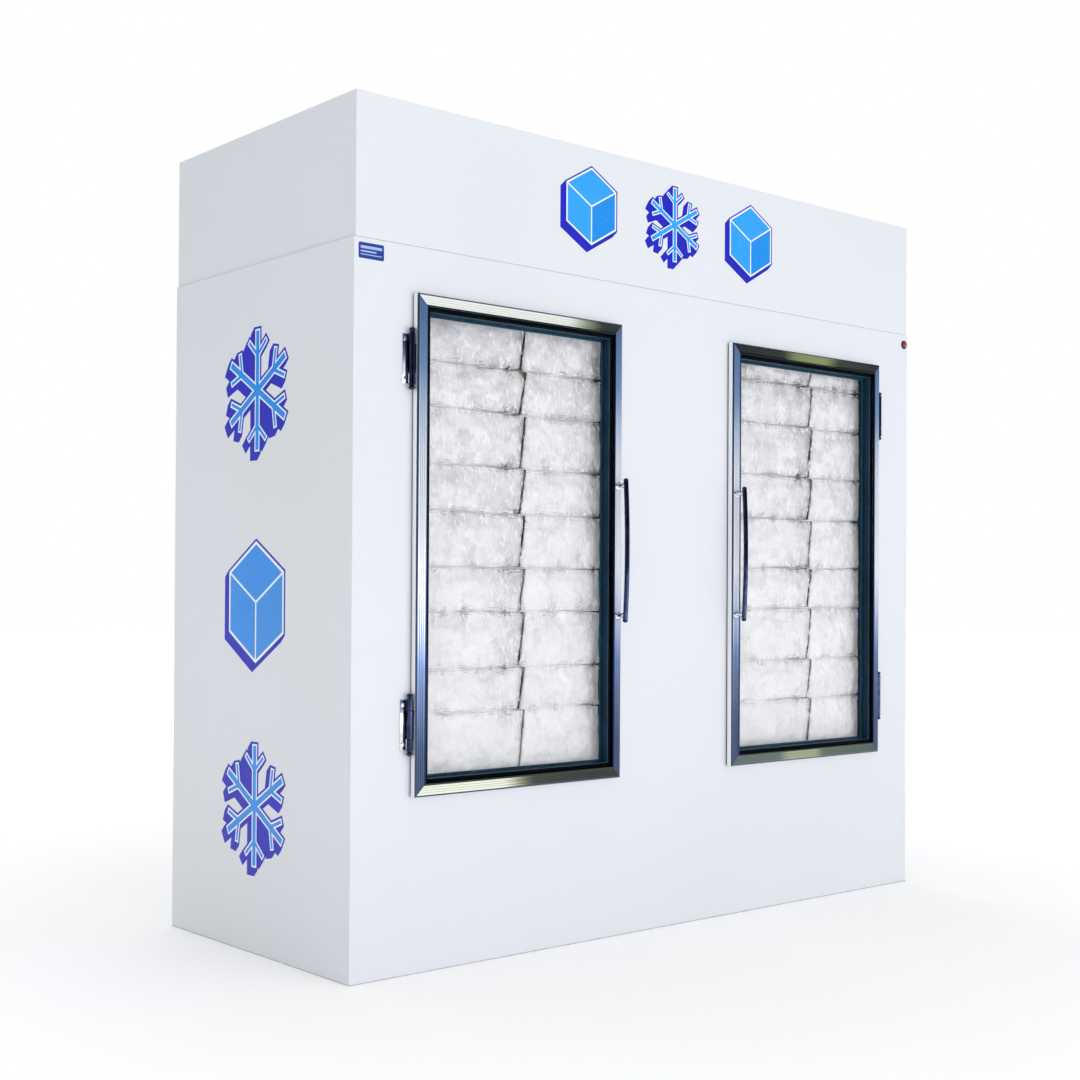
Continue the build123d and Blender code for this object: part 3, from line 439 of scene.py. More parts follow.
@dataclass(frozen=True)
class IceFilm(Finish):
    """Thin clear film drawn tight over frosted ice: milky and mottled, with painted shade in its seams and
    creases, painted white highlights and a faint painted glow.

    Three attributes of each bag steer it: "shade" says how much painted shade the film gets, "seam" how far it is
    to the next layer in metres, and "crease" how crumpled it is, which sets the painted crease shade. A strand is
    a fold line of painted shade at its place from the seam, and swings to and fro by its second number.
    """

    # The ramp's greys and olives are painted shade for where the film sinks into a seam.
    stops: tuple = (
        (0.0, "#FDFCFE"),
        (0.22, "#EDECEF"),
        (0.42, "#CFCED2"),
        (0.62, "#9A9995"),
        (0.84, "#4A4B3E"),
        (1.0, "#23241B"),
    )
    strands: tuple = ((3 * MM, 9 * MM), (8.5 * MM, 20 * MM))
    strand_width: float = 1.6 * MM
    cloud: float = 40 * MM
    stroke: float = 7.5 * MM
    stroke_stretch: float = 2.6
    speck: float = 12 * MM
    lump: float = 21 * MM
    lump_depth: float = 4.5 * MM
    crinkle: float = 8 * MM
    crinkle_depth: float = 2.2 * MM
    waver: float = 22 * MM
    fade: float = 30 * MM
    crumple: float = 8.5 * MM
    ragged: float = 14 * MM
    facet: float = 30 * MM
    drawn_out: float = 1.5
    tones: tuple[float, float] = (-0.06, 0.09)
    # The glow is painted light: the film's own colour shines faintly.
    glow: float = 0.2
    coat: float = 0.2

    def look(self, graph: Graph) -> dict:
        """The shader's inputs, each a value or a socket."""
        clouds = graph.noise(self.cloud, 4.0)
        # Painted shade: the shade attribute, the fold shade and the crease shade darken the film in its seams and
        # creases; the clouds and the facets are its own random tones.
        depth = graph.add("Attribute", {}, "Fac", attribute_name="shade")
        cloudy = graph.ranged(clouds, self.tones)
        for part in (cloudy, self.fold_shade(graph), self.crease_shade(graph), self.facets(graph)):
            depth = graph.math("ADD", depth, part)
        colour = graph.add("ValToRGB", {0: depth}, stops=self.stops)
        # Painted highlights: white strokes and round specks mixed into the colour where the ice's edges would
        # catch the light.
        strokes = graph.noise(self.stroke, 1.5, Axis.Z, self.stroke_stretch)
        specks = graph.add("TexVoronoi", graph.cells(self.speck))
        highlight_strokes = graph.ranged(strokes, (0.0, 0.7), (0.55, 0.68))
        highlight_specks = graph.ranged(specks, (0.9, 0.0), (0.04, 0.09))
        for share in (highlight_strokes, highlight_specks):
            colour = graph.blend(share, colour, self.colour)
        lumps = graph.add("TexVoronoi", graph.cells(self.lump), feature="SMOOTH_F1")
        relief = graph.bump(lumps, self.lump_depth)
        crinkles = graph.noise(self.crinkle)
        crumpled = {"Height": crinkles, "Distance": self.crinkle_depth, "Normal": relief}
        return {
            "Base Color": colour,
            # Painted light: the film glows with its own colour.
            "Emission Color": colour,
            "Emission Strength": self.glow,
            "Roughness": self.gloss(graph, clouds, 0.08, 0.14),
            "Coat Weight": self.coat,
            "Coat Roughness": 0.25,
            "Normal": graph.add("Bump", crumpled),
        }

    def fold_shade(self, graph: Graph) -> Socket:
        """Painted fold shade: thin grey lines that wander along the seams.

        Args:
            graph: The material's node tree.

        Returns:
            How dark they are.
        """
        waver = graph.noise(self.waver, 3.0)
        seam = graph.add("Attribute", {}, "Fac", attribute_name="seam")
        lines = []
        for place, swing in self.strands:
            middle = graph.math("MULTIPLY_ADD", waver, swing, place - swing / 2)
            near = graph.math("ABSOLUTE", graph.math("SUBTRACT", seam, middle))
            lines.append(graph.ranged(near, (0.27, 0.0), (0.0, self.strand_width)))
        fade = graph.ranged(graph.noise(self.fade, 1.0), (0.15, 1.0), (0.38, 0.58))
        return graph.math("MULTIPLY", graph.math("MAXIMUM", *lines), fade)

    def crease_shade(self, graph: Graph) -> Socket:
        """Painted crease shade: a net of fine dark lines round the knots.

        Args:
            graph: The material's node tree.

        Returns:
            How dark they are.
        """
        cells = graph.cells(self.crumple, Axis.X, self.drawn_out)
        net = graph.add("TexVoronoi", cells, feature="DISTANCE_TO_EDGE")
        crease = graph.add("Attribute", {}, "Fac", attribute_name="crease")
        return graph.math("MULTIPLY", graph.ranged(net, (1.0, 0.0), (0.0, 0.16)), crease)

    def facets(self, graph: Graph) -> Socket:
        """Flat patches of film with a tone of their own and ragged edges.

        Args:
            graph: The material's node tree.

        Returns:
            Their tone.
        """
        ragged = graph.add("TexNoise", {**graph.cells(self.ragged), "Detail": 3.0}, "Color")
        cells = graph.cells(self.facet, Axis.X, self.drawn_out)
        inputs = {0: ragged, 1: (1.1, 1.1, 1.1), 2: cells["Vector"]}
        cells["Vector"] = graph.add("VectorMath", inputs, operation="MULTIPLY_ADD")
        patches = graph.add("TexVoronoi", cells, "Color")
        return graph.ranged(graph.add("SeparateColor", {0: patches}), self.tones, WHOLE)


@dataclass(frozen=True)
class Vinyl(Finish):
    """Printed self-adhesive vinyl: flat ink under a glossy laminate."""

    shade: str = "#0A6FD0"
    cloud: float = 160 * MM
    wear: float = 20 * MM
    wave: float = 4 * MM
    wave_depth: float = 0.02 * MM

    def look(self, graph: Graph) -> dict:
        """The shader's inputs, each a value or a socket."""
        tones = graph.ranged(graph.noise(self.cloud), (0.0, 0.5))
        return {
            "Base Color": graph.blend(tones, self.colour, self.shade),
            "Roughness": self.gloss(graph, graph.noise(self.wear), 0.0, 0.06),
            "Normal": graph.bump(graph.noise(self.wave), self.wave_depth),
        }


@dataclass(frozen=True)
class LampLens(Finish):
    """Moulded clear red polycarbonate: deep colour with a lit rim."""

    tone: str = "#E0442A"
    cloud: float = 4 * MM
    relief: float = 0.1 * MM
    clearness: float = 0.25
    coat: float = 0.6

    def look(self, graph: Graph) -> dict:
        """The shader's inputs, each a value or a socket."""
        clouds = graph.noise(self.cloud)
        return {
            "Base Color": graph.blend(clouds, self.colour, self.tone),
            "Roughness": self.roughness,
            "Transmission Weight": self.clearness,
            "Coat Weight": self.coat,
            "Normal": graph.bump(clouds, self.relief),
        }


@dataclass(frozen=True)
class StudioFloor(Finish):
    """Matt white studio floor that fades into the white surround a few metres away."""

    tone: str = "#FDFCFB"
    cloud: float = 800 * MM
    near: float = 1.4
    far: float = 6.0
    near_glow: float = 0.09
    far_glow: float = 0.34

    def look(self, graph: Graph) -> dict:
        """The shader's inputs, each a value or a socket."""
        source = graph.add("TexCoord", {}, "Object")
        away = graph.add("VectorMath", {0: source}, "Value", operation="LENGTH")
        return {
            "Base Color": graph.blend(graph.noise(self.cloud), self.colour, self.tone),
            "Roughness": self.roughness,
            "Specular IOR Level": 0.0,
            "Emission Color": linear("#FFFFFF"),
            "Emission Strength": graph.ranged(away, (self.near_glow, self.far_glow), (self.near, self.far)),
        }


# White powder coat with a cool cast, satin enough to show soft light.
WHITE_PAINT = PowderCoat("powder_coat_white", "#E5E6ED", 0.38, "#E1E4E8")
ZINC_SHEET = Galvanised("galvanised_sheet", "#A4ABB1", 0.42)
LINER_SHEET = StuccoSheet("stucco_aluminium", "#C9CDD0", 0.34)
FOAM = Foam("polyurethane_foam", "#E6D8A4", 0.8)
# Bright dipped and anodised extrusions: nearly mirrors, with die lines along the bar. Painted reflections are
# set into their colour along each bar: slate, white and pale blue up the stiles, and cream, olive and grey green
# along the rails.
STILE_PAINTED_REFLECTIONS = (
    (0.0, "#44516F"),
    (0.1, "#3F4E69"),
    (0.2, "#566683"),
    (0.26, "#62799D"),
    (0.34, "#A6B2C8"),
    (0.46, "#FFFFFF"),
    (0.7, "#FFFFFF"),
    (0.78, "#E2EBF2"),
    (0.86, "#9EBAD8"),
    (1.0, "#7F98BC"),
)
TOP_PAINTED_REFLECTIONS = (
    (0.0, "#FFFFFF"),
    (0.272, "#FFFFFA"),
    (0.305, "#9AA088"),
    (0.335, "#2C352D"),
    (0.62, "#1B221D"),
    (0.745, "#2B3327"),
    (0.775, "#8E9960"),
    (0.85, "#98A26C"),
    (0.885, "#39432F"),
    (1.0, "#1A2120"),
)
LOW_PAINTED_REFLECTIONS = (
    (0.0, "#F4F5EC"),
    (0.155, "#F8F8EE"),
    (0.185, "#8B907A"),
    (0.205, "#3C4538"),
    (0.27, "#2C352E"),
    (0.38, "#262F2C"),
    (0.62, "#5E6F70"),
    (0.74, "#66766F"),
    (0.76, "#A9B192"),
    (0.83, "#A3AC90"),
    (0.85, "#5F6E66"),
    (1.0, "#4E5F5E"),
)
STILE_ZONE, RAIL_ZONE = (DOOR_LOW, DOOR_HIGH), (-DOOR_OUTER, DOOR_OUTER)
STILE_METAL = DrawnMetal(
    "bright_anodised_stile", "#EEF2FB", 0.13, Axis.Z, 2.2 * MM, "#FFFFFF", 0.72, STILE_ZONE, STILE_PAINTED_REFLECTIONS
)
# The grooves, the chamfers and the lips are darker copies of the anodised metal: painted shade.
STILE_GROOVE_SHADE = DrawnMetal(
    "shaded_anodised_stile_groove", "#A3ADC4", 0.2, Axis.Z, 2 * MM, "#C8D0E0", 0.6, STILE_ZONE, STILE_PAINTED_REFLECTIONS
)
TOP_METAL = DrawnMetal(
    "bright_anodised_top_rail", "#F7F8F4", 0.16, Axis.X, 1.2 * MM, "#FFFFFC", 0.2, RAIL_ZONE, TOP_PAINTED_REFLECTIONS
)
TOP_GROOVE_SHADE = DrawnMetal(
    "shaded_anodised_top_groove", "#A9AD9A", 0.3, Axis.X, 2 * MM, "#C6C9BA", 0.3, RAIL_ZONE, TOP_PAINTED_REFLECTIONS
)
LOW_METAL = DrawnMetal(
    "bright_anodised_bottom_rail", "#F7F8EC", 0.16, Axis.X, 1.2 * MM, "#FFFFF8", 0.2, RAIL_ZONE, LOW_PAINTED_REFLECTIONS
)
LOW_GROOVE_SHADE = DrawnMetal(
    "shaded_anodised_bottom_groove", "#A9AD9A", 0.3, Axis.X, 2 * MM, "#C6C9BA", 0.3, RAIL_ZONE, LOW_PAINTED_REFLECTIONS
)
STILE_EDGE = DrawnMetal("bright_anodised_edge", "#F1F3F7", 0.2, Axis.Z, 2 * MM, "#FFFFFF", 0.5)
CHAMFER_SHADE = DrawnMetal("shaded_anodised_chamfer", "#33425E", 0.2, Axis.Z, 2 * MM, "#4A5A78", 0.6)
STILE_LIP_SHADE = DrawnMetal("shaded_anodised_stile_lip", "#0E1B38", 0.18, Axis.Z, 2 * MM, "#1E3158")
RAIL_LIP_SHADE = DrawnMetal("shaded_anodised_rail_lip", "#2C352C", 0.18, Axis.X, 2 * MM, "#46524A")
CHROME = PlatedMetal("polished_chrome", "#DDE1E6", 0.04)
# The grips, the knuckles and the pins get a copy of chrome in dark navy: painted dark reflection between the real
# highlights.
SHADED_CHROME = PlatedMetal("deep_chrome", "#232B46", 0.05, 0.04, "#3F4966")
ZINC_PLATE = PlatedMetal("bright_zinc_plate", "#B9BEC4", 0.22, 0.1)
COPPER = DrawnMetal("drawn_copper_tube", "#B5653E", 0.25, Axis.X, 2 * MM, "#CF8A5F")
FINS = DrawnMetal("aluminium_fins", "#B4B9BE", 0.35, Axis.Z, 2 * MM, "#DDE1E4")
FAN_METAL = DrawnMetal("pressed_aluminium_blade", "#AEB4BA", 0.3, Axis.X, 3 * MM, "#D5DADE")
MOTOR_METAL = PlatedMetal("passivated_motor_shell", "#878D93", 0.32, 0.12)
BLACK_ENAMEL = PowderCoat("black_stoving_enamel", "#0E0F11", 0.3, "#17191C")
# The reveal's plastic is a deep teal that goes nearly black where it is shaded.
REVEAL_PLASTIC = Moulded("abs_reveal", "#1D4A60", 0.3, "#194256", sheen=0.25)
EDGE_SEALANT = Moulded("black_edge_sealant", "#04070C", 0.6, "#060B14", sheen=0.05)
SPACER_WALL = Moulded("teal_spacer_wall", "#12324A", 0.35, "#0F2A3C", sheen=0.1)
# A lighter teal on the spacer's bevelled front edge: a painted highlight.
SPACER_GLINT = Moulded("bright_spacer_edge", "#3C6072", 0.3, "#30505F", sheen=0.2)
GASKET_RUBBER = Moulded("magnetic_gasket_rubber", "#17191C", 0.6, "#26292D")
GROMMET_RUBBER = Moulded("moulded_rubber", "#141414", 0.7, "#222222")
BLACK_PLASTIC = Moulded("black_abs", "#0B0C0E", 0.35, "#15171A")
WHITE_PLASTIC = Moulded("opal_polycarbonate", "#E4E9EE", 0.3, "#D6DDE4")
GLASS = FloatGlass("float_glass", "#08181C", 0.02)
LENS = LampLens("red_polycarbonate", "#B5200F", 0.12)
# Milky film over ice: nearly white where it is full, with painted shade that turns it grey and then olive where it
# sinks into a seam.
ICE_FILM = IceFilm("ice_in_clear_film", "#FFFFFF", 0.36)
VINYL_FACE = Vinyl("vinyl_light_blue", "#36A6F5", 0.22, "#2A9AEC")
VINYL_DEEP = Vinyl("vinyl_mid_blue", "#1F92EC", 0.22, "#1888E2")
VINYL_LABEL = Vinyl("vinyl_label_blue", "#1E3F9E", 0.3, "#18358C")
VINYL_BAND = Vinyl("vinyl_label_band", "#AFC4EC", 0.3, "#9DB6E4")
VINYL_WHITE = Vinyl("vinyl_white", "#F4F8FF", 0.22, "#E4EEFC")
VINYL_SIDE = Vinyl("vinyl_bright_blue", "#1490F0", 0.22, "#0E84E4")
VINYL_NAVY = Vinyl("vinyl_dark_blue", "#0608C4", 0.4, "#0404AE")
FLOOR = StudioFloor("pale_studio_floor", "#FFFAFB", 0.9)


# Mesh tools


def of_kind(parts: Iterable, kind: type) -> list:
    """The vertices, the edges or the faces among mixed parts of a mesh."""
    return [part for part in parts if isinstance(part, kind)]


def block(bm: BMesh, low: Point, high: Point, bevel: float = 0.0) -> None:
    """Adds a block with bevelled edges.

    Args:
        bm: The mesh that gets it.
        low: Its lowest corner.
        high: Its highest corner.
        bevel: The width of the bevel, or 0 for none.
    """
    middle = (Vector(low) + Vector(high)) / 2
    spans = [abs(b - a) for a, b in zip(low, high)]
    place = Matrix.Translation(middle) @ Matrix.Diagonal((*spans, 1.0))
    made = bmesh.ops.create_cube(bm, size=1.0, matrix=place)
    if bevel > 0:
        round_edges(bm, {edge for vert in made["verts"] for edge in vert.link_edges}, bevel)


def round_edges(bm: BMesh, edges: Iterable, width: float, segments: int = 2) -> None:
    """Bevels edges to a round profile.

    Args:
        bm: The mesh that holds them.
        edges: The edges.
        width: The bevel's width.
        segments: How many steps it has.
    """
    bmesh.ops.bevel(
        bm,
        geom=list(edges),
        offset=width,
        offset_type="OFFSET",
        affect="EDGES",
        segments=segments,
        profile=0.5,
        material=-1,
        clamp_overlap=True,
    )


def turned(bm: BMesh, profile: Sequence[Point], place: Point, along: Point, steps: int = 40) -> None:
    """Turns a profile round an axis.

    Args:
        bm: The mesh that gets it.
        profile: Radius and distance along the axis, point by point.
        place: Where the axis starts.
        along: The axis.
        steps: How many steps round.
    """
    axis = Vector(along).normalized()
    side = axis.orthogonal().normalized()
    start = Vector(place)
    verts = [bm.verts.new(start + axis * far + side * max(radius, 0.0)) for radius, far in profile]
    edges = [bm.edges.new(pair) for pair in zip(verts, verts[1:])]
    bmesh.ops.spin(
        bm,
        geom=verts + edges,
        cent=start,
        axis=axis,
        angle=math.tau,
        steps=steps,
        use_merge=True,
    )


# The largest share of a side that a rounded corner may take: a bit less than half.
HALF_SIDE = 0.45


def soft_corners(points: Sequence[Point], reach: float, steps: int = 3) -> list[tuple[float, float]]:
    """Rounds the corners of a closed flat outline.

    Args:
        points: The outline's corners.
        reach: How far from each corner its curve starts.
        steps: How many straight steps each curve has.

    Returns:
        The rounded outline.
    """
    rounded = []
    count = len(points)
    for number in range(count):
        corner = Vector(points[number]).to_2d()
        before = Vector(points[number - 1]).to_2d() - corner
        after = Vector(points[(number + 1) % count]).to_2d() - corner
        first = corner + before.normalized() * min(reach, before.length * HALF_SIDE)
        last = corner + after.normalized() * min(reach, after.length * HALF_SIDE)
        for step in range(steps + 1):
            share = step / steps
            point = first * (1 - share) ** 2 + corner * 2 * share * (1 - share) + last * share**2
            rounded.append((point.x, point.y))
    return rounded


def flat_face(bm: BMesh, points: Sequence[Point]) -> BMFace:
    """Adds one flat face with these corners."""
    return bm.faces.new([bm.verts.new(point) for point in points])


def drawn(bm: BMesh, points: Sequence[Point], way: Point) -> BMFace:
    """Draws a flat outline out into a solid bar.

    Args:
        bm: The mesh that gets it.
        points: The outline's corners in space.
        way: How far and where it is drawn.

    Returns:
        The bar's far end.
    """
    face = flat_face(bm, points)
    made = bmesh.ops.extrude_face_region(bm, geom=[face], use_keep_orig=True)["geom"]
    bmesh.ops.translate(bm, vec=Vector(way), verts=of_kind(made, BMVert))
    return of_kind(made, BMFace)[0]


def shave(bm: BMesh, place: Point, outward: Point) -> None:
    """Cuts off what lies beyond a plane and closes the cut.

    Args:
        bm: The mesh that is cut.
        place: A point of the plane.
        outward: The way to the side that goes.
    """
    cut = bmesh.ops.bisect_plane(
        bm,
        geom=bm.verts[:] + bm.edges[:] + bm.faces[:],
        plane_co=Vector(place),
        plane_no=Vector(outward),
        clear_outer=True,
    )
    bmesh.ops.contextual_create(bm, geom=of_kind(cut["geom_cut"], BMEdge))


def finished(
    bm: BMesh,
    name: str,
    body: str,
    finishes: Sequence[Finish],
    replaces: Sequence[str] = (),
    smooth: float | None = 35.0,
) -> bpy.types.Object:
    """Turns a bmesh into a piece that rides on a CAD body.

    Args:
        bm: The mesh, which is freed.
        name: The piece's name.
        body: The CAD body that carries it.
        finishes: Its finishes, in the order of its faces' material numbers.
        replaces: The CAD nodes that it stands for.
        smooth: Below this angle in degrees, faces meet smoothly; None keeps them flat.

    Returns:
        The finished object.
    """
    bmesh.ops.recalc_face_normals(bm, faces=bm.faces[:])
    mesh = bpy.data.meshes.new(name)
    bm.to_mesh(mesh)
    bm.free()
    for finish in finishes:
        mesh.materials.append(finish.material())
    if smooth is not None:
        mesh.shade_smooth()
        mesh.set_sharp_from_angle(angle=math.radians(smooth))
    piece = bpy.data.objects.new(name, mesh)
    bpy.context.scene.collection.objects.link(piece)
    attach(piece, body)
    if replaces:
        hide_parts(*replaces)
    log.info("%s: %d faces", name, len(mesh.polygons))
    return piece


# Studio


@dataclass(frozen=True)
class Softbox:
    """A soft area light.

    It is given by where it stands, the point it faces, its width and height, its watts and its colour.
    """

    name: str
    place: Point
    target: Point
    size: tuple[float, float]
    power: float
    colour: str = "#FFFFFF"

    def hang(self) -> None:
        """Adds the light."""
        data = bpy.data.lights.new(self.name, "AREA")
        data.shape = "RECTANGLE"
        data.size, data.size_y = self.size
        data.energy = self.power
        data.color = linear(self.colour)[:3]
        lamp = bpy.data.objects.new(self.name, data)
        away = Vector(self.place) - Vector(self.target)
        turn = away.to_track_quat("Z", "Y").to_matrix().to_4x4()
        lamp.matrix_world = Matrix.Translation(self.place) @ turn
        bpy.context.scene.collection.objects.link(lamp)


@dataclass
class Studio:
    """The camera at the photograph's angle, the pale floor, the soft lights and the surround.

    The angles are in degrees, and the focal length and the middle of the picture in pixels of the photograph.
    """

    softboxes: tuple[Softbox, ...] = (
        Softbox("key_softbox", (-1.0, -5.2, 3.6), (0.0, -0.3, 0.9), (3.2, 2.4), 6.0),
        Softbox("left_softbox", (-4.6, -2.4, 1.6), (-1.0, -0.4, 1.0), (2.0, 2.0), 8.0, "#FAFCFF"),
        Softbox("low_softbox", (0.8, -4.8, 0.5), (0.0, -0.4, 0.45), (3.6, 0.8), 30.0, "#F6F6FF"),
        Softbox("top_softbox", (0.5, -0.6, 5.2), (0.0, 0.0, 1.0), (4.0, 3.0), 20.0),
        Softbox("rear_softbox", (2.5, 4.8, 3.4), (0.0, 0.4, 1.0), (3.0, 2.4), 24.0),
    )
    camera_place: Point = (-2.9973, -3.372, 0.8824)
    yaw: float = 40.95
    pitch: float = 0.55
    roll: float = 0.33
    focal_pixels: float = 1581.6
    axis_pixels: tuple[float, float] = (550.3, 576.2)
    frame_pixels: float = 1080.0
    sensor: float = 36.0
    floor_size: float = 60.0
    glow: float = 1.15
    front_glow: str = "#FBFCFF"
    side_glow: str = "#88948B"
    backdrop: str = "#FFFFFF"
    side_start: float = 0.1
    window_way: Point = (0.64, -0.77, 0.0)
    window_edge: tuple[float, float] = (0.74, 0.9)
    window_stops: tuple = (
        (0.0, "#F4F6FA"),
        (0.53, "#EEF1F8"),
        (0.56, "#A9BBD6"),
        (0.6, "#5B789F"),
        (0.68, "#2A4066"),
        (1.0, "#D9E0EC"),
    )
    wall_stops: tuple = (
        (0.0, "#F4F6FA"),
        (0.46, "#D5DCEA"),
        (0.505, "#3A4A6E"),
        (0.54, "#0A1122"),
        (0.8, "#0E1830"),
        (1.0, "#D9E0EC"),
    )

    def build(self) -> None:
        """Adds the camera, the floor, the lights and the world."""
        self.camera()
        self.floor()
        for softbox in self.softboxes:
            softbox.hang()
        self.world()
        bpy.context.scene.view_settings.view_transform = "Standard"

    def camera(self) -> None:
        """Adds the camera."""
        yaw, pitch, roll = (math.radians(angle) for angle in (self.yaw, self.pitch, self.roll))
        level = math.cos(pitch)
        ahead = Vector((math.sin(yaw) * level, math.cos(yaw) * level, math.sin(pitch)))
        right = Vector((math.cos(yaw), -math.sin(yaw), 0.0))
        up = right.cross(ahead)
        turned_right = right * math.cos(roll) + up * math.sin(roll)
        turned_up = up * math.cos(roll) - right * math.sin(roll)
        data = bpy.data.cameras.new("camera")
        data.sensor_fit = "HORIZONTAL"
        data.sensor_width = self.sensor
        data.lens = self.focal_pixels / self.frame_pixels * self.sensor
        data.shift_x = (self.frame_pixels / 2 - self.axis_pixels[0]) / self.frame_pixels
        data.shift_y = (self.axis_pixels[1] - self.frame_pixels / 2) / self.frame_pixels
        camera = bpy.data.objects.new("camera", data)
        turn = Matrix((turned_right, turned_up, -ahead)).transposed().to_4x4()
        camera.matrix_world = Matrix.Translation(self.camera_place) @ turn
        bpy.context.scene.collection.objects.link(camera)
        bpy.context.scene.camera = camera

    def floor(self) -> None:
        """Adds the pale floor."""
        bm = bmesh.new()
        bmesh.ops.create_grid(bm, x_segments=1, y_segments=1, size=self.floor_size / 2)
        mesh = bpy.data.meshes.new("floor")
        bm.to_mesh(mesh)
        bm.free()
        mesh.materials.append(FLOOR.material())
        floor = bpy.data.objects.new("floor", mesh)
        bpy.context.scene.collection.objects.link(floor)

    def world(self) -> None:
        """Adds a pale surround, in which bright metal sees two pale windows between deep blue walls."""
        world = bpy.data.worlds.new("studio")
        bpy.context.scene.world = world
        graph = Graph(world)
        way = graph.add("TexCoord", {}, "Generated")
        sideways, upwards = (graph.add("SeparateXYZ", {0: way}, part) for part in ("X", "Z"))
        aside = graph.ranged(graph.math("ABSOLUTE", sideways), span=(self.side_start, 1.0))
        soft = graph.blend(aside, self.front_glow, self.side_glow)
        inputs = {0: way, 1: self.window_way}
        facing = graph.add("VectorMath", inputs, "Value", operation="DOT_PRODUCT")
        share = graph.ranged(graph.math("ABSOLUTE", facing), span=self.window_edge)
        height = graph.ranged(upwards, span=(-1.0, 1.0))
        wall = graph.add("ValToRGB", {0: height}, stops=self.wall_stops)
        pane = graph.add("ValToRGB", {0: height}, stops=self.window_stops)
        bright = graph.blend(share, wall, pane)
        rays = ("Is Glossy Ray", "Is Camera Ray")
        glossy, camera = (graph.add("LightPath", {}, kind) for kind in rays)
        lit = graph.add("Background", {"Color": soft, "Strength": self.glow})
        mirrored = graph.add("Background", {"Color": bright})
        seen = graph.add("Background", {"Color": self.backdrop})
        mixed = graph.add("MixShader", {0: glossy, 1: lit, 2: mirrored})
        mixed = graph.add("MixShader", {0: camera, 1: mixed, 2: seen})
        graph.add("OutputWorld", {"Surface": mixed})


# Doors


@dataclass
class Side:
    """One side of the cabinet, with its door's own names."""

    sign: int
    prefix: str

    @property
    def body(self) -> str:
        """The CAD body of this side's door."""
        return f"{self.prefix}_door"

    def nodes(self, *names: str) -> list[str]:
        """The CAD nodes of this door by their short names."""
        return [f"{self.prefix}_{name}" for name in names]


SIDES = (Side(-1, "left"), Side(1, "right"))


class BarPart(IntEnum):
    """The parts of a frame bar's section, each with a metal of its own; the groove, the lip and the chamfer get
    darker copies as painted shade.
    """

    FACE = 0
    GROOVE = 1
    LIP = 2
    EDGE = 3
    CHAMFER = 4


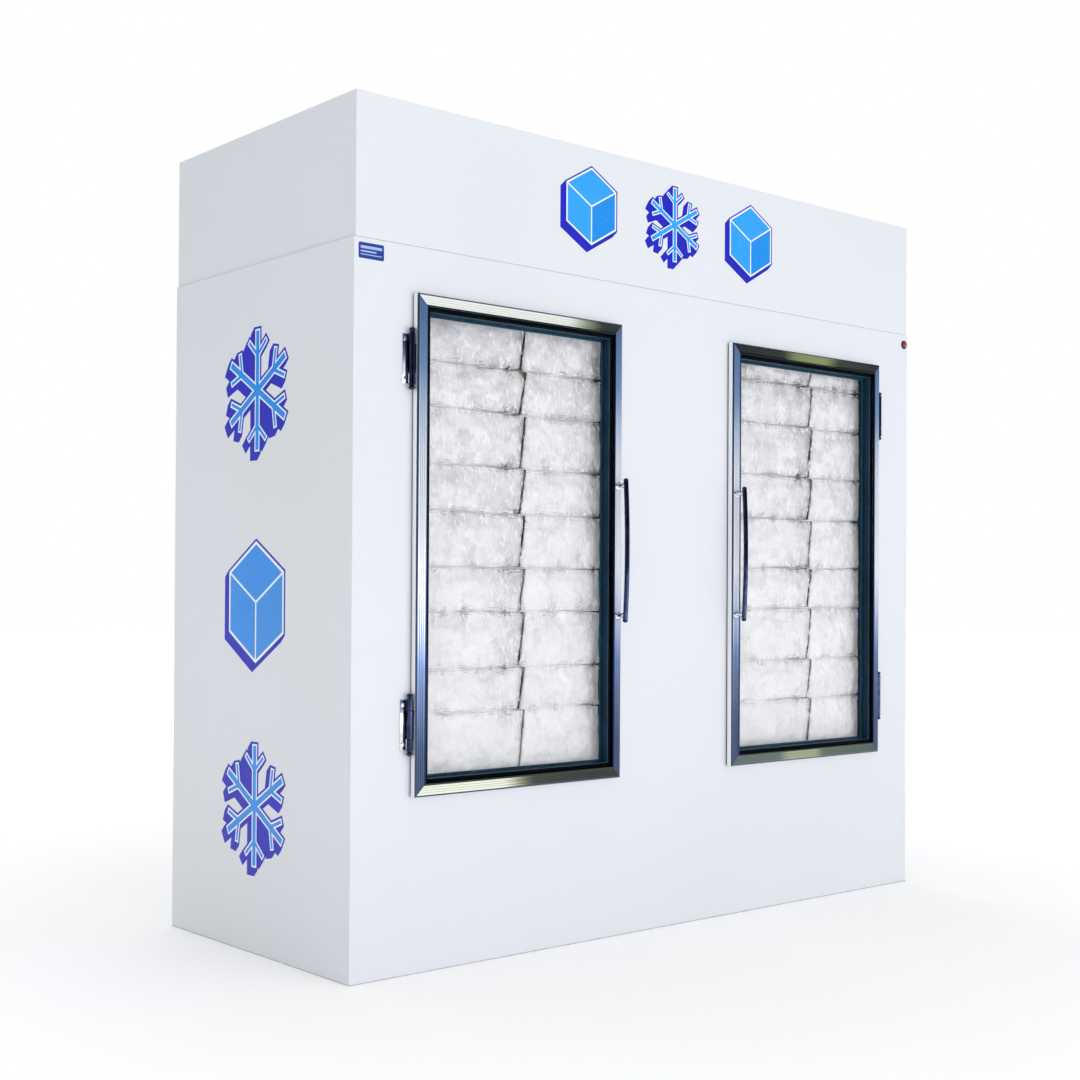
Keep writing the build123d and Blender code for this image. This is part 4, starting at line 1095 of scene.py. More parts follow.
@dataclass
class DoorFrame:
    """Mitred extrusions with a reeded face, a soft outer edge and a raised lip; painted shade darkens the lip, the
    chamfer and the grooves.

    The section is measured from the outer edge inwards and from the cabinet's face outwards.
    """

    side: Side
    edge: float = DOOR_OUTER
    width: float = DOOR_WIDTH
    bottom: float = DOOR_LOW
    height: float = DOOR_HEIGHT
    face_y: float = FACE_Y
    bar_width: float = 0.030
    box_width: float = 0.0215
    back: float = 0.004
    glass: float = 0.019
    shoulder: float = 0.0185
    chamfer: float = 0.0045
    face: float = 0.022
    lip: float = 0.024
    lip_width: float = 0.0045
    reeds: int = 4
    reed_depth: float = 0.0007
    softness: float = 0.0009
    close: float = 0.0003
    first_groove: float = 0.0005
    groove_depth: float = 0.0001

    def section(self) -> list[tuple[float, float]]:
        """The bar's section as insets from the outer edge and distances from the cabinet's face.

        Returns:
            The corners of its outline.
        """
        near, far = self.chamfer, self.bar_width - self.lip_width
        points = [(0.0, self.back), (0.0, self.shoulder), (near, self.face)]
        pitch = (far - near) / self.reeds
        for number in range(1, self.reeds):
            middle = near + number * pitch
            points += [
                (middle - self.reed_depth, self.face),
                (middle, self.face - self.reed_depth),
                (middle + self.reed_depth, self.face),
            ]
        points += [
            (far, self.face),
            (far, self.lip),
            (self.bar_width, self.lip),
            (self.bar_width, self.glass),
            (self.box_width, self.glass),
            (self.box_width, self.back),
        ]
        return soft_corners(points, self.softness)

    def across(self, inset: float) -> float:
        """The place across of an inset that is counted from the door's hinge edge."""
        return self.side.sign * (self.edge - inset)

    def build(self) -> None:
        """Builds the stiles and the rails, each pair one piece."""
        top = self.bottom + self.height
        corners = [(self.across(u), z) for u in (0.0, self.width) for z in (self.bottom, top)]
        inwards = [self.across(1.0) - self.across(0.0), self.across(0.0) - self.across(1.0)]
        stiles, rails = bmesh.new(), bmesh.new()
        for place in (0, 1):
            bar = bmesh.new()
            points = [
                (self.across((inset, self.width - inset)[place]), self.face_y - proud, self.bottom)
                for inset, proud in self.section()
            ]
            drawn(bar, points, (0.0, 0.0, self.height))
            (x, low), (_, high) = corners[2 * place], corners[2 * place + 1]
            shave(bar, (x, 0.0, low), (inwards[place], 0.0, -1.0))
            shave(bar, (x, 0.0, high), (inwards[place], 0.0, 1.0))
            self.merge(stiles, bar)
            bar = bmesh.new()
            points = [
                (self.across(0.0), self.face_y - proud, (self.bottom + inset, top - inset)[place])
                for inset, proud in self.section()
            ]
            drawn(bar, points, (self.across(self.width) - self.across(0.0), 0.0, 0.0))
            z, rise = (self.bottom, top)[place], (1.0, -1.0)[place]
            shave(bar, (self.across(0.0), 0.0, z), (-inwards[0], 0.0, rise))
            shave(bar, (self.across(self.width), 0.0, z), (inwards[0], 0.0, rise))
            self.merge(rails, bar)
        for bm in (stiles, rails):
            for face in bm.faces:
                self.tint(face)
        # The bottom rail gets its own copies of the metal, with its own painted reflections.
        halfway = self.bottom + self.height / 2
        for face in rails.faces:
            if face.material_index <= BarPart.GROOVE and face.calc_center_median().z < halfway:
                face.material_index += len(BarPart)
        upright = [STILE_METAL, STILE_GROOVE_SHADE, STILE_LIP_SHADE, STILE_EDGE, CHAMFER_SHADE]
        level = [TOP_METAL, TOP_GROOVE_SHADE, RAIL_LIP_SHADE, STILE_EDGE, CHAMFER_SHADE, LOW_METAL, LOW_GROOVE_SHADE]
        names = self.side.nodes("door_stiles", "door_rails")
        for bm, name, metals in zip((stiles, rails), names, (upright, level)):
            finished(bm, f"{name}_reeded", self.side.body, metals, [name])

    def tint(self, face: BMFace) -> None:
        """Gives a face of a bar the number of its metal.

        Args:
            face: The face.
        """
        centre = face.calc_center_median()
        proud = self.face_y - centre.y
        u = self.edge - abs(centre.x)
        v = centre.z - self.bottom
        inset = min(u, self.width - u, v, self.height - v)
        # Lip, chamfer and groove faces get the darker copies of the metal as painted shade.
        if inset > self.bar_width - self.lip_width + self.close and proud > self.glass:
            face.material_index = BarPart.LIP
        elif inset < self.close and proud < self.shoulder:
            face.material_index = BarPart.EDGE
        elif inset < self.chamfer and proud < self.face:
            face.material_index = BarPart.CHAMFER
        elif inset > self.chamfer + self.first_groove and self.glass < proud < self.face - self.groove_depth:
            face.material_index = BarPart.GROOVE

    def merge(self, whole: BMesh, bar: BMesh) -> None:
        """Adds a finished bar to a mesh of several.

        Args:
            whole: The mesh of several.
            bar: The bar, which is freed.
        """
        mesh = bpy.data.meshes.new("bar")
        bar.to_mesh(mesh)
        bar.free()
        whole.from_mesh(mesh)
        bpy.data.meshes.remove(mesh)


@dataclass
class GlassSpacer:
    """The bar between the panes: black sealant in front, a teal inner wall and, between them, a bevelled edge in a
    lighter teal as a painted highlight.
    """

    side: Side
    middle: float = DOOR_MIDDLE
    half_width: float = DOOR_WIDTH / 2
    bottom: float = DOOR_LOW
    height: float = DOOR_HEIGHT
    face_y: float = FACE_Y
    near: float = 0.028
    far: float = 0.041
    back: float = -0.005
    front: float = 0.015
    glint: float = 0.0010

    def build(self) -> None:
        """Builds the ring as one piece."""
        bm = bmesh.new()
        centre = (self.side.sign * self.middle, self.face_y - self.back, self.bottom + self.height / 2)
        spans = (self.half_width - self.near, self.height / 2 - self.near, 1.0, 1.0)
        place = Matrix.Translation(centre) @ Matrix.Rotation(math.pi / 2, 4, "X") @ Matrix.Diagonal(spans)
        bmesh.ops.create_grid(bm, x_segments=1, y_segments=1, size=1.0, matrix=place)
        opening = bm.faces[:]
        ring = self.far - self.near
        bmesh.ops.inset_region(bm, faces=opening, thickness=ring, use_even_offset=True, use_boundary=True)
        bmesh.ops.delete(bm, geom=opening, context="FACES")
        made = bmesh.ops.extrude_face_region(bm, geom=bm.faces[:], use_keep_orig=True)["geom"]
        verts = of_kind(made, BMVert)
        bmesh.ops.translate(bm, vec=(0.0, self.back - self.front, 0.0), verts=verts)
        inner = self.half_width - self.far + 0.001
        corners = {vert for vert in verts if abs(vert.co.x - centre[0]) < inner}
        round_edges(bm, [edge for edge in bm.edges if corners.issuperset(edge.verts)], self.glint, 1)
        bm.normal_update()
        # Sideways faces get the teal wall, and the bevel's sloping faces the lighter teal of a painted highlight.
        walls = [face for face in bm.faces if abs(face.normal.y) < 0.1]
        slopes = [face for face in bm.faces if 0.1 <= abs(face.normal.y) < 0.9]
        for number, faces in ((1, walls), (2, slopes)):
            for face in faces:
                face.material_index = number
        [name] = self.side.nodes("door_spacer")
        dress = [EDGE_SEALANT, SPACER_WALL, SPACER_GLINT]
        finished(bm, f"{name}_ring", self.side.body, dress, [name], smooth=None)


@dataclass
class DoorHandle:
    """A chrome pull: a slightly bowed grip on two turned posts with stepped rosettes."""

    side: Side
    x: float = midpoint("right_door_handle", 0)
    middle: float = midpoint("right_door_handle", 2)
    length: float = 0.355
    post_spacing: float = 0.330
    face_y: float = extent("right_door_handle")[1][1]
    reach: float = 0.035
    bow: float = 0.006
    grip: float = 0.0063
    steps: int = 24
    rounds: int = 24

    def build(self) -> None:
        """Builds the grip and the posts as one piece."""
        bm = bmesh.new()
        x = self.side.sign * self.x
        half = self.length / 2
        crest = self.face_y - self.reach
        rows = []
        for step in range(self.steps + 1):
            share = 2 * step / self.steps - 1
            centre = Vector((x, crest + self.bow * share * share, self.middle + share * half))
            slope = Vector((0.0, 2 * self.bow * share / half, 1.0)).normalized()
            turn = slope.to_track_quat("Z", "X").to_matrix().to_4x4()
            place = Matrix.Translation(centre) @ turn
            ring = bmesh.ops.create_circle(bm, segments=self.rounds, radius=self.grip, matrix=place)
            rows.append(set(ring["verts"]))
        for pair in zip(rows, rows[1:]):
            near = {edge for ring in pair for vert in ring for edge in vert.link_edges}
            loops = [edge for edge in near if any(ring.issuperset(edge.verts) for ring in pair)]
            bmesh.ops.bridge_loops(bm, edges=loops)
        for sign in (-1, 1):
            self.end_cap(bm, Vector((x, crest + self.bow, self.middle + sign * half)), sign)
        grip = set(bm.faces)
        for step in (-1, 1):
            self.post(bm, x, self.middle + step * self.post_spacing / 2)
        for face in set(bm.faces) - grip:
            face.material_index = 1
        bmesh.ops.remove_doubles(bm, verts=bm.verts[:], dist=0.00005)
        [name] = self.side.nodes("door_handle")
        finished(bm, f"{name}_pull", self.side.body, [SHADED_CHROME, CHROME], [name])

    def end_cap(self, bm: BMesh, end: Vector, sign: int) -> None:
        """Adds a domed end to the grip, over a narrow collar.

        Args:
            bm: The mesh that gets it.
            end: The middle of the grip's end.
            sign: 1 for the upper end and -1 for the lower one.
        """
        radius = self.grip
        profile = [(radius, -0.0005), (radius * 1.08, 0.0), (radius * 1.08, 0.0012), (radius, 0.0017)]
        for step in range(1, 7):
            angle = math.radians(15 * step)
            profile.append((radius * math.cos(angle), 0.0017 + (radius - 0.002) * math.sin(angle)))
        turned(bm, profile, end, (0.0, 0.0, sign), self.rounds)

    def post(self, bm: BMesh, x: float, z: float) -> None:
        """Adds a turned post: a chamfered rosette, a waisted stem and a ring under the grip.

        Args:
            bm: The mesh that gets it.
            x: Its place across.
            z: Its height.
        """
        far = self.reach - self.bow
        profile = [
            (0.0, 0.0),
            (0.0100, 0.0),
            (0.0100, 0.0018),
            (0.0092, 0.0028),
            (0.0066, 0.0032),
            (0.0056, 0.0042),
            (0.0050, far * 0.5),
            (0.0054, far - 0.010),
            (0.0068, far - 0.0088),
            (0.0068, far - 0.0068),
            (0.0056, far - 0.0056),
            (0.0050, far),
            (0.0, far),
        ]
        turned(bm, profile, (x, self.face_y, z), (0.0, -1.0, 0.0), 32)


# Hinges


@dataclass
class HingePins:
    """Four hinge pins with turned acorn caps above and below their knuckles."""

    x: float = HINGE_X
    y: float = HINGE_Y
    heights: tuple[float, float] = HINGE_HEIGHTS
    half: float = 0.0574
    pin: float = 0.003
    cap: float = 0.0076
    cap_height: float = 0.015
    collar: float = 0.0026

    def build(self) -> None:
        """Builds all four pins as one piece."""
        bm = bmesh.new()
        whole = 2 * self.half
        profile = [(0.0, 0.0), (self.pin, 0.0), (self.pin, whole), (0.0, whole)]
        for side in SIDES:
            x = side.sign * self.x
            for height in self.heights:
                turned(bm, profile, (x, self.y, height - self.half), (0.0, 0.0, 1.0), 20)
                for step in (-1, 1):
                    self.acorn(bm, (x, self.y, height + step * self.half), step)
        finished(bm, "hinge_pins_turned", "cabinet", [SHADED_CHROME], ["hinge_pins"])

    def acorn(self, bm: BMesh, place: Point, step: int) -> None:
        """Adds one cap: a collar, a waist and a ball.

        Args:
            bm: The mesh that gets it.
            place: The middle of its foot.
            step: 1 for a cap on top and -1 for one below.
        """
        full, waist, collar = self.cap, self.cap * 0.62, self.collar
        profile = [
            (0.0, 0.0),
            (full * 0.94, 0.0),
            (full, 0.0005),
            (full, collar - 0.0005),
            (full * 0.94, collar),
            (waist, collar + 0.0004),
            (waist, collar + 0.0012),
        ]
        ball = (self.cap_height - collar - 0.0008) / 2
        centre = self.cap_height - ball
        for angle in range(-60, 91, 15):
            turn = math.radians(angle)
            profile.append((full * 0.97 * math.cos(turn), centre + ball * math.sin(turn)))
        turned(bm, profile, place, (0.0, 0.0, step), 28)


@dataclass
class HingePlates:
    """The moving leaves and the fixed brackets: eased knuckles, webs and plates in chrome.

    A leaf's plate is given by its thickness and where it starts and ends towards the front, and a bracket's
    by where it starts and ends across and its thickness.
    """

    x: float = HINGE_X
    y: float = HINGE_Y
    edge: float = DOOR_OUTER
    face_y: float = FACE_Y
    heights: tuple[float, float] = HINGE_HEIGHTS
    knuckle: float = 0.007
    pin: float = 0.00305
    leaf_half: float = LEAF_HALF
    gap: float = 0.0004
    fixed_height: float = 0.024
    web: float = 0.004
    leaf_plate: Point = (0.0018, -0.4193, -0.4313)
    bracket_plate: Point = (0.8578, 0.885, 0.0025)
    ease: float = 0.0007

    def build(self) -> None:
        """Builds both doors' leaves and all fixed brackets."""
        thick, near, far = self.leaf_plate
        for side in SIDES:
            edge, bore, outer = (side.sign * x for x in (self.edge, self.x - self.pin, self.edge + thick))
            bm = bmesh.new()
            for height in self.heights:
                low, high = height - self.leaf_half, height + self.leaf_half
                self.knuckle_tube(bm, side, low, high)
                block(bm, (edge, self.y - self.web / 2, low), (bore, self.y + self.web / 2, high))
                block(bm, (edge, far, low), (outer, near, high), self.ease / 2)
            [name] = side.nodes("hinge_leaves")
            finished(bm, f"{name}_eased", side.body, [SHADED_CHROME], [name])
        bm = bmesh.new()
        for side in SIDES:
            for height in self.heights:
                self.bracket(bm, side, height)
        finished(bm, "hinge_brackets_eased", "cabinet", [CHROME, SHADED_CHROME], ["hinge_brackets"])

    def bracket(self, bm: BMesh, side: Side, height: float) -> None:
        """Adds one fixed bracket: a plate on the cabinet and a knuckle above and below the leaf.

        Args:
            bm: The mesh that gets it.
            side: The side of the cabinet.
            height: The hinge's middle.
        """
        near, far, thick = self.bracket_plate
        full = self.leaf_half + self.gap + self.fixed_height
        xs = sorted((side.sign * near, side.sign * far))
        block(bm, (xs[0], self.face_y - thick, height - full), (xs[1], self.face_y, height + full), self.ease)
        for step in (-1, 1):
            zone = sorted((height + step * (self.leaf_half + self.gap), height + step * full))
            others = set(bm.faces)
            self.knuckle_tube(bm, side, *zone)
            for face in set(bm.faces) - others:
                face.material_index = 1
            x = side.sign * self.x
            low = (x - self.web / 2, self.y + self.pin, zone[0])
            block(bm, low, (x + self.web / 2, self.face_y - thick / 2, zone[1]))

    def knuckle_tube(self, bm: BMesh, side: Side, low: float, high: float) -> None:
        """Adds a knuckle with eased ends and a bore for the pin.

        Args:
            bm: The mesh that gets it.
            side: The side of the cabinet.
            low: Its lower end.
            high: Its upper end.
        """
        far = high - low
        profile = [
            (self.pin, 0.0),
            (self.knuckle - self.ease, 0.0),
            (self.knuckle, self.ease),
            (self.knuckle, far - self.ease),
            (self.knuckle - self.ease, far),
            (self.pin, far),
            (self.pin, 0.0),
        ]
        turned(bm, profile, (side.sign * self.x, self.y, low), (0.0, 0.0, 1.0), 32)


# Trim


@dataclass
class PilotLamp:
    """A turned bezel with a stepped rim round a domed red lens."""

    place: Point = (midpoint("pilot_lamp_lens", 0), FACE_Y, midpoint("pilot_lamp_lens", 2))
    bezel: float = 0.013
    bezel_height: float = 0.004
    lens: float = 0.0088
    lens_height: float = 0.009
    floor: float = 0.001
    barrel: float = 0.008
    barrel_length: float = 0.022
    dome_steps: int = 8

    def build(self) -> None:
        """Builds the bezel and the lens."""
        bm = bmesh.new()
        profile = [
            (0.0, -self.barrel_length),
            (self.barrel, -self.barrel_length),
            (self.barrel, 0.0),
            (self.bezel, 0.0),
            (self.bezel, 0.0012),
            (self.bezel - 0.0006, 0.0018),
            (self.bezel - 0.0016, 0.0034),
            (self.bezel - 0.0024, self.bezel_height),
            (self.lens + 0.0006, self.bezel_height),
            (self.lens + 0.0002, self.bezel_height - 0.0006),
            (self.lens + 0.0002, self.floor),
            (0.0, self.floor),
        ]
        turned(bm, profile, self.place, (0.0, -1.0, 0.0), 48)
        name = "pilot_lamp_turned_bezel"
        finished(bm, name, "cabinet", [BLACK_PLASTIC], ["pilot_lamp_bezel"])
        bm = bmesh.new()
        brim = self.bezel_height * 0.9
        profile = [(0.0, self.floor), (self.lens, self.floor), (self.lens, brim)]
        for step in range(1, self.dome_steps + 1):
            angle = math.radians(90 * step / self.dome_steps)
            rise = (self.lens_height - brim) * math.sin(angle)
            profile.append((self.lens * math.cos(angle), brim + rise))
        turned(bm, profile, self.place, (0.0, -1.0, 0.0), 48)
        finished(bm, "pilot_lamp_domed_lens", "cabinet", [LENS], ["pilot_lamp_lens"])


@dataclass
class RatingPlace:
    """A small rounded vinyl label with nothing printed but plain bands, where makers put their plate.

    Each band is given by the shares of the label's height and width where it starts and ends.
    """

    left: float = 0.012 - SIDE_X
    right: float = 0.081 - SIDE_X
    low: float = 1.629
    high: float = 1.665
    face_y: float = FACE_Y
    thickness: float = 0.0003
    corner: float = 0.004
    band_corner: float = 0.0006
    bands: tuple = ((0.62, 0.80, 0.08, 0.92), (0.40, 0.50, 0.08, 0.70), (0.22, 0.28, 0.08, 0.92))

    def build(self) -> None:
        """Builds the label with its bands as one piece."""
        bm = bmesh.new()
        self.patch(bm, (self.left, self.low, self.right, self.high), self.thickness, self.corner, 0)
        wide, tall = self.right - self.left, self.high - self.low
        for low, high, start, end in self.bands:
            near, far = self.left + start * wide, self.left + end * wide
            zone = (near, self.low + low * tall, far, self.low + high * tall)
            self.patch(bm, zone, self.thickness * 1.3, self.band_corner, 1)
        finished(bm, "blank_label", "cabinet", [VINYL_LABEL, VINYL_BAND], smooth=None)

    def patch(self, bm: BMesh, zone: Point, lift: float, corner: float, number: int) -> None:
        """Adds one flat patch with round corners.

        Args:
            bm: The mesh that gets it.
            zone: Its left, its bottom, its right and its top.
            lift: How far it stands off the panel.
            corner: How far from each corner its curve starts.
            number: The number of its vinyl among the label's.
        """
        left, low, right, high = zone
        outline = soft_corners([(left, low), (right, low), (right, high), (left, high)], corner, 5)
        before = set(bm.faces)
        drawn(bm, [(x, self.face_y, z) for x, z in outline], (0.0, -lift, 0.0))
        for face in set(bm.faces) - before:
            face.material_index = number


@dataclass
class LouvreHoods:
    """Pressed hoods over the slots of the rear grille, open downwards."""

    back: float = BACK_Y
    first: float = 1.7232
    pitch: float = 0.022
    slot: float = 0.008
    rows: int = 10
    near: float = 0.170
    far: float = 0.730
    proud: float = 0.0055
    sheet: float = 0.0010
    rise: float = 0.0035
    overlap: float = 0.002
    steps: int = 6

    def build(self) -> None:
        """Builds every hood in one piece."""
        bm = bmesh.new()
        for side in SIDES:
            left, right = sorted((side.sign * self.near, side.sign * self.far))
            for row in range(self.rows):
                low = self.first + row * self.pitch
                high = low + self.slot + self.rise
                self.hood(bm, left - self.overlap, right + self.overlap, low, high)
        finished(bm, "rear_louvre_hoods", "cabinet", [WHITE_PAINT])

    def hood(self, bm: BMesh, left: float, right: float, low: float, high: float) -> None:
        """Adds one hood: a curved sheet and a cheek at each end.

        Args:
            bm: The mesh that gets it.
            left: Where it starts across.
            right: Where it ends across.
            low: Its open lower edge.
            high: Its top.
        """
        outer, inner = [], []
        for step in range(self.steps + 1):
            turn = math.pi / 2 * step / self.steps
            outer.append((self.back + self.proud * math.sin(turn), low + (high - low) * math.cos(turn)))
            reach, rise = self.proud - self.sheet, high - low - self.sheet
            inner.append((self.back + reach * math.sin(turn), low + rise * math.cos(turn)))
        section = [*outer, *reversed(inner)]
        drawn(bm, [(left, y, z) for y, z in section], (right - left, 0.0, 0.0))
        cheek = [*inner, (self.back, low)]
        for start, end in ((left, left + self.sheet), (right - self.sheet, right)):
            drawn(bm, [(start, y, z) for y, z in cheek], (end - start, 0.0, 0.0))


# Bags of ice


# How the film behaves as cloth: thin, light and easily bent, blown up from inside, and up to 6 percent too
# large where it isn't tight.
FILM_CLOTH = {
    "quality": 5,
    "mass": 0.15,
    "air_damping": 2.0,
    "tension_stiffness": 20.0,
    "compression_stiffness": 20.0,
    "shear_stiffness": 8.0,
    "bending_stiffness": 0.05,
    "use_pressure": True,
    "uniform_pressure_force": 4.0,
    "shrink_min": -0.06,
}


@dataclass(frozen=True)
class Knot:
    """How the film is drawn together on a seam: where, how deep and how much painted shade it gets. Sizes are in
    metres.

    The pit shades are the painted shade in the pits of even and odd layers' knots. Rays run out from a knot within
    its ring, and puckers run along the seam.
    """

    insets: tuple[float, float] = (0.050, 0.016)
    sway: float = 0.006
    dent: float = 0.006
    dent_radius: float = 0.008
    ring: float = 0.019
    ring_width: float = 0.014
    ray_pace: float = 2.6
    ray_strength: float = 1.6
    ray_depth: float = 0.0030
    pucker: float = 0.0024
    pucker_reach: float = 0.016
    pucker_pace: float = 95.0
    patch_pace: float = 38.0
    # Painted shade in the knots' pits, round their rings, along the seams and in patches, which are partly the
    # grey of the ice through the film.
    pit_shades: tuple[float, float] = (0.2, 0.55)
    dark_radius: float = 0.0045
    ring_shade: float = 0.08
    crease: float = 0.22
    crease_radius: float = 0.020
    seam_crease: float = 0.06
    seam_crease_reach: float = 0.009
    seam_reach: float = 0.010
    patch_reach: float = 0.014
    seam_shade: float = 0.05
    patch_tone_and_shade: float = 0.26


@dataclass
class IceBags:
    """Bags of ice in clear film, stacked in four columns behind the doors.

    The row shares are the heights of each door's visible layers from the bottom up, and the seams are where
    its two columns meet. The shades are painted shade that darkens the film: in the left and the right column,
    for each metre above a height, towards a bag's right end, where it lies back, in the gap between the columns
    and at their rim; the bag tone is a random tone from bag to bag. The seam waves give a seam's run: waves for
    each metre, their shift from layer to layer and their strength. The right door's layers are numbered from
    their own start, so that they differ from the left door's.
    """

    row_shares: tuple = (
        (0.148, 0.0923, 0.1225, 0.0941, 0.119, 0.0994, 0.119, 0.0968, 0.1089),
        (0.1337, 0.1024, 0.1318, 0.1022, 0.1256, 0.1105, 0.1293, 0.1055, 0.059),
    )
    seams: tuple[float, float] = (-0.487, 0.610)
    play: float = 0.0003
    base: float = round(JAMB_LOW + 0.0023, 4)
    visible: float = round(BAG_HIGH - base, 4)
    rack: float = round(BAG_LOW - play, 4)
    lower_rows: int = 3
    right_start: int = 20
    front: float = BAG_FRONT
    lower_front: float = -0.334
    depth: float = 0.330
    middle: float = DOOR_MIDDLE
    width: float = round(JAMB_X - 0.0025 - DOOR_MIDDLE, 4)
    film_height: float = 0.125
    edge: float = 0.005
    crown: float = 0.011
    cloth_share: float = 0.8
    lean: float = 0.010
    droop: float = 0.0035
    slack: float = 0.0006
    cuts: tuple[int, int, int] = (84, 12, 34)
    hidden_cuts: tuple[int, int, int] = (24, 8, 10)
    steps: int = 14
    patterns: int = 3
    pattern_pace: float = 28.0
    pattern_shift: float = 11.3
    knot: Knot = Knot()
    column_shades: tuple[float, float] = (0.135, 0.11)
    height_shade: float = 0.17
    rise_start: float = 1.05
    end_shade: float = 0.13
    bag_tone: float = 0.03
    deep: float = 0.010
    recess_shade: float = 0.10
    gap_start: float = 0.003
    gap_fade: float = 0.004
    gap_shade: float = 0.7
    rim_shade: float = 0.6
    rim_reach: float = 0.0012
    seam_waves: tuple = ((9.0, 7.3, 1.0), (31.0, 3.7, 0.6))
    coarse_lumps: tuple[float, float] = (16.0, 0.0022)
    fine_lumps: tuple[float, float] = (45.0, 0.0011)
    sink: float = 0.0012
    fill: float = 0.85
    swells: list[np.ndarray] = field(default_factory=list)

    def grid(self, cuts: Sequence[int]) -> BMesh:
        """A cube from -1 to 1 with this many cuts along each axis.

        Args:
            cuts: The cuts along X, Y and Z.

        Returns:
            The cube.
        """
        bm = bmesh.new()
        bmesh.ops.create_cube(bm, size=2.0)
        for axis, count in enumerate(cuts):
            edges = [edge for edge in bm.edges if abs(edge.verts[0].co[axis] - edge.verts[1].co[axis]) > 1.0]
            bmesh.ops.subdivide_edges(bm, edges=edges, cuts=count, use_grid_fill=True)
        return bm

    def rounded(self, unit: np.ndarray, half: np.ndarray) -> np.ndarray:
        """Turns a unit cube's points into those of a block with round edges.

        Args:
            unit: Points on a cube from -1 to 1.
            half: The block's half sizes.

        Returns:
            The points on the block.
        """
        eased = 0.35 * unit + 0.65 * np.sin(np.pi / 2 * unit)
        solid = eased * half
        edge = min(self.edge, 0.45 * half[2])
        core = np.clip(solid, -(half - edge), half - edge)
        spare = solid - core
        length = np.maximum(np.linalg.norm(spare, axis=1), 1e-9)
        return core + spare * (np.abs(spare).max(axis=1) / length)[:, None]

    def swell(self, pattern: int) -> np.ndarray:
        """Blows one bag up as cloth whose film is tight in some places and slack in others.

        Args:
            pattern: The number of the film's pattern of tight and slack places.

        Returns:
            How far each point of the grid swells forwards, from 0 at the rim to 1 at the fullest place.
        """
        bm = self.grid(self.cuts)
        unit = np.array([vert.co[:] for vert in bm.verts])
        rest = self.rounded(unit, np.array([self.width, self.depth, self.film_height]) / 2)
        for vert, point in zip(bm.verts, rest):
            vert.co = point
        mesh = bpy.data.meshes.new("film")
        bm.to_mesh(mesh)
        bm.free()
        film = bpy.data.objects.new("film", mesh)
        bpy.context.scene.collection.objects.link(film)
        tight, held = film.vertex_groups.new(name="tight"), film.vertex_groups.new(name="held")
        shift = Vector((pattern * self.pattern_shift, 0.0, 0.0))
        for number, (point, place) in enumerate(zip(rest, unit)):
            value = 0.5 + 0.9 * noise.noise(Vector(point) * self.pattern_pace + shift)
            tight.add([number], min(max(value, 0.0), 1.0), "REPLACE")
            held.add([number], 1.0 if place[1] > 0.9 else 0.0, "REPLACE")
        cloth = film.modifiers.new("cloth", "CLOTH")
        for name, value in FILM_CLOTH.items():
            setattr(cloth.settings, name, value)
        cloth.settings.vertex_group_shrink = tight.name
        cloth.settings.vertex_group_mass = held.name
        cloth.settings.effector_weights.gravity = 0.0
        cloth.collision_settings.use_collision = False
        cloth.point_cache.frame_end = self.steps
        for step in range(1, self.steps + 1):
            bpy.context.scene.frame_set(step)
        settled = film.evaluated_get(bpy.context.evaluated_depsgraph_get()).to_mesh()
        places = np.empty(len(rest) * 3)
        settled.vertices.foreach_get("co", places)
        forward = (rest - places.reshape(-1, 3))[:, 1]
        bpy.data.objects.remove(film)
        bpy.data.meshes.remove(mesh)
        bpy.context.scene.frame_set(1)
        full = np.percentile(forward[unit[:, 1] < -0.9], 99.0)
        return np.clip(forward / max(full, 1e-6), -0.1, 1.0)

    def build(self) -> None:
        """Simulates the film's swelling, then builds every bag as a padded piece of its own."""
        self.swells = [self.swell(pattern) for pattern in range(self.patterns)]
        below = (self.base - self.play - self.rack) / self.lower_rows
        for side, seam, shares in zip(SIDES, self.seams, self.row_shares):
            rows = [(self.lower_front, self.rack + row * below, below) for row in range(self.lower_rows)]
            low = self.base
            for share in shares:
                rows.append((self.front, low, share * self.visible / sum(shares)))
                low += rows[-1][2]
            for row, (face, low, height) in enumerate(rows):
                for step in (-1, 1):
                    where = "outer" if step == side.sign else "inner"
                    name = f"ice_bag_{side.prefix}_{where}_{row + 1:02d}"
                    rim = side.sign * self.middle + step * self.width
                    left, right = sorted((seam, rim))
                    place = (left, right, step, face, low, height)
                    number = row + self.right_start * (side.sign > 0)
                    self.bag(name, place, number, row < self.lower_rows)
        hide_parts("bagged_ice")

    def bag(self, name: str, place: tuple, row: int, hidden: bool) -> bpy.types.Object:
        """Builds one bag.

        Args:
            name: The piece's name.
            place: Where it starts and ends across, its column, the front, the bottom and the height.
            row: The layer's number, which sets the run of its seams.
            hidden: Whether it lies behind the front wall.

        Returns:
            The finished piece.
        """
        left, right, step, face, low, height = place
        bm = self.grid(self.hidden_cuts if hidden else self.cuts)
        unit = np.array([vert.co[:] for vert in bm.verts])
        half = np.array([right - left, self.depth, height - self.slack]) / 2
        centre = np.array([(left + right) / 2, face + self.depth / 2, low + height / 2])
        shaped, marks = self.shape(unit, half, centre, step, row)
        for mark, values in marks.items():
            layer = bm.verts.layers.float.new(mark)
            for vert, value in zip(bm.verts, values):
                vert[layer] = value
        for vert, point in zip(bm.verts, shaped):
            vert.co = point
        self.lump(bm)
        piece = finished(bm, name, "cabinet", [ICE_FILM], smooth=180.0)
        return piece

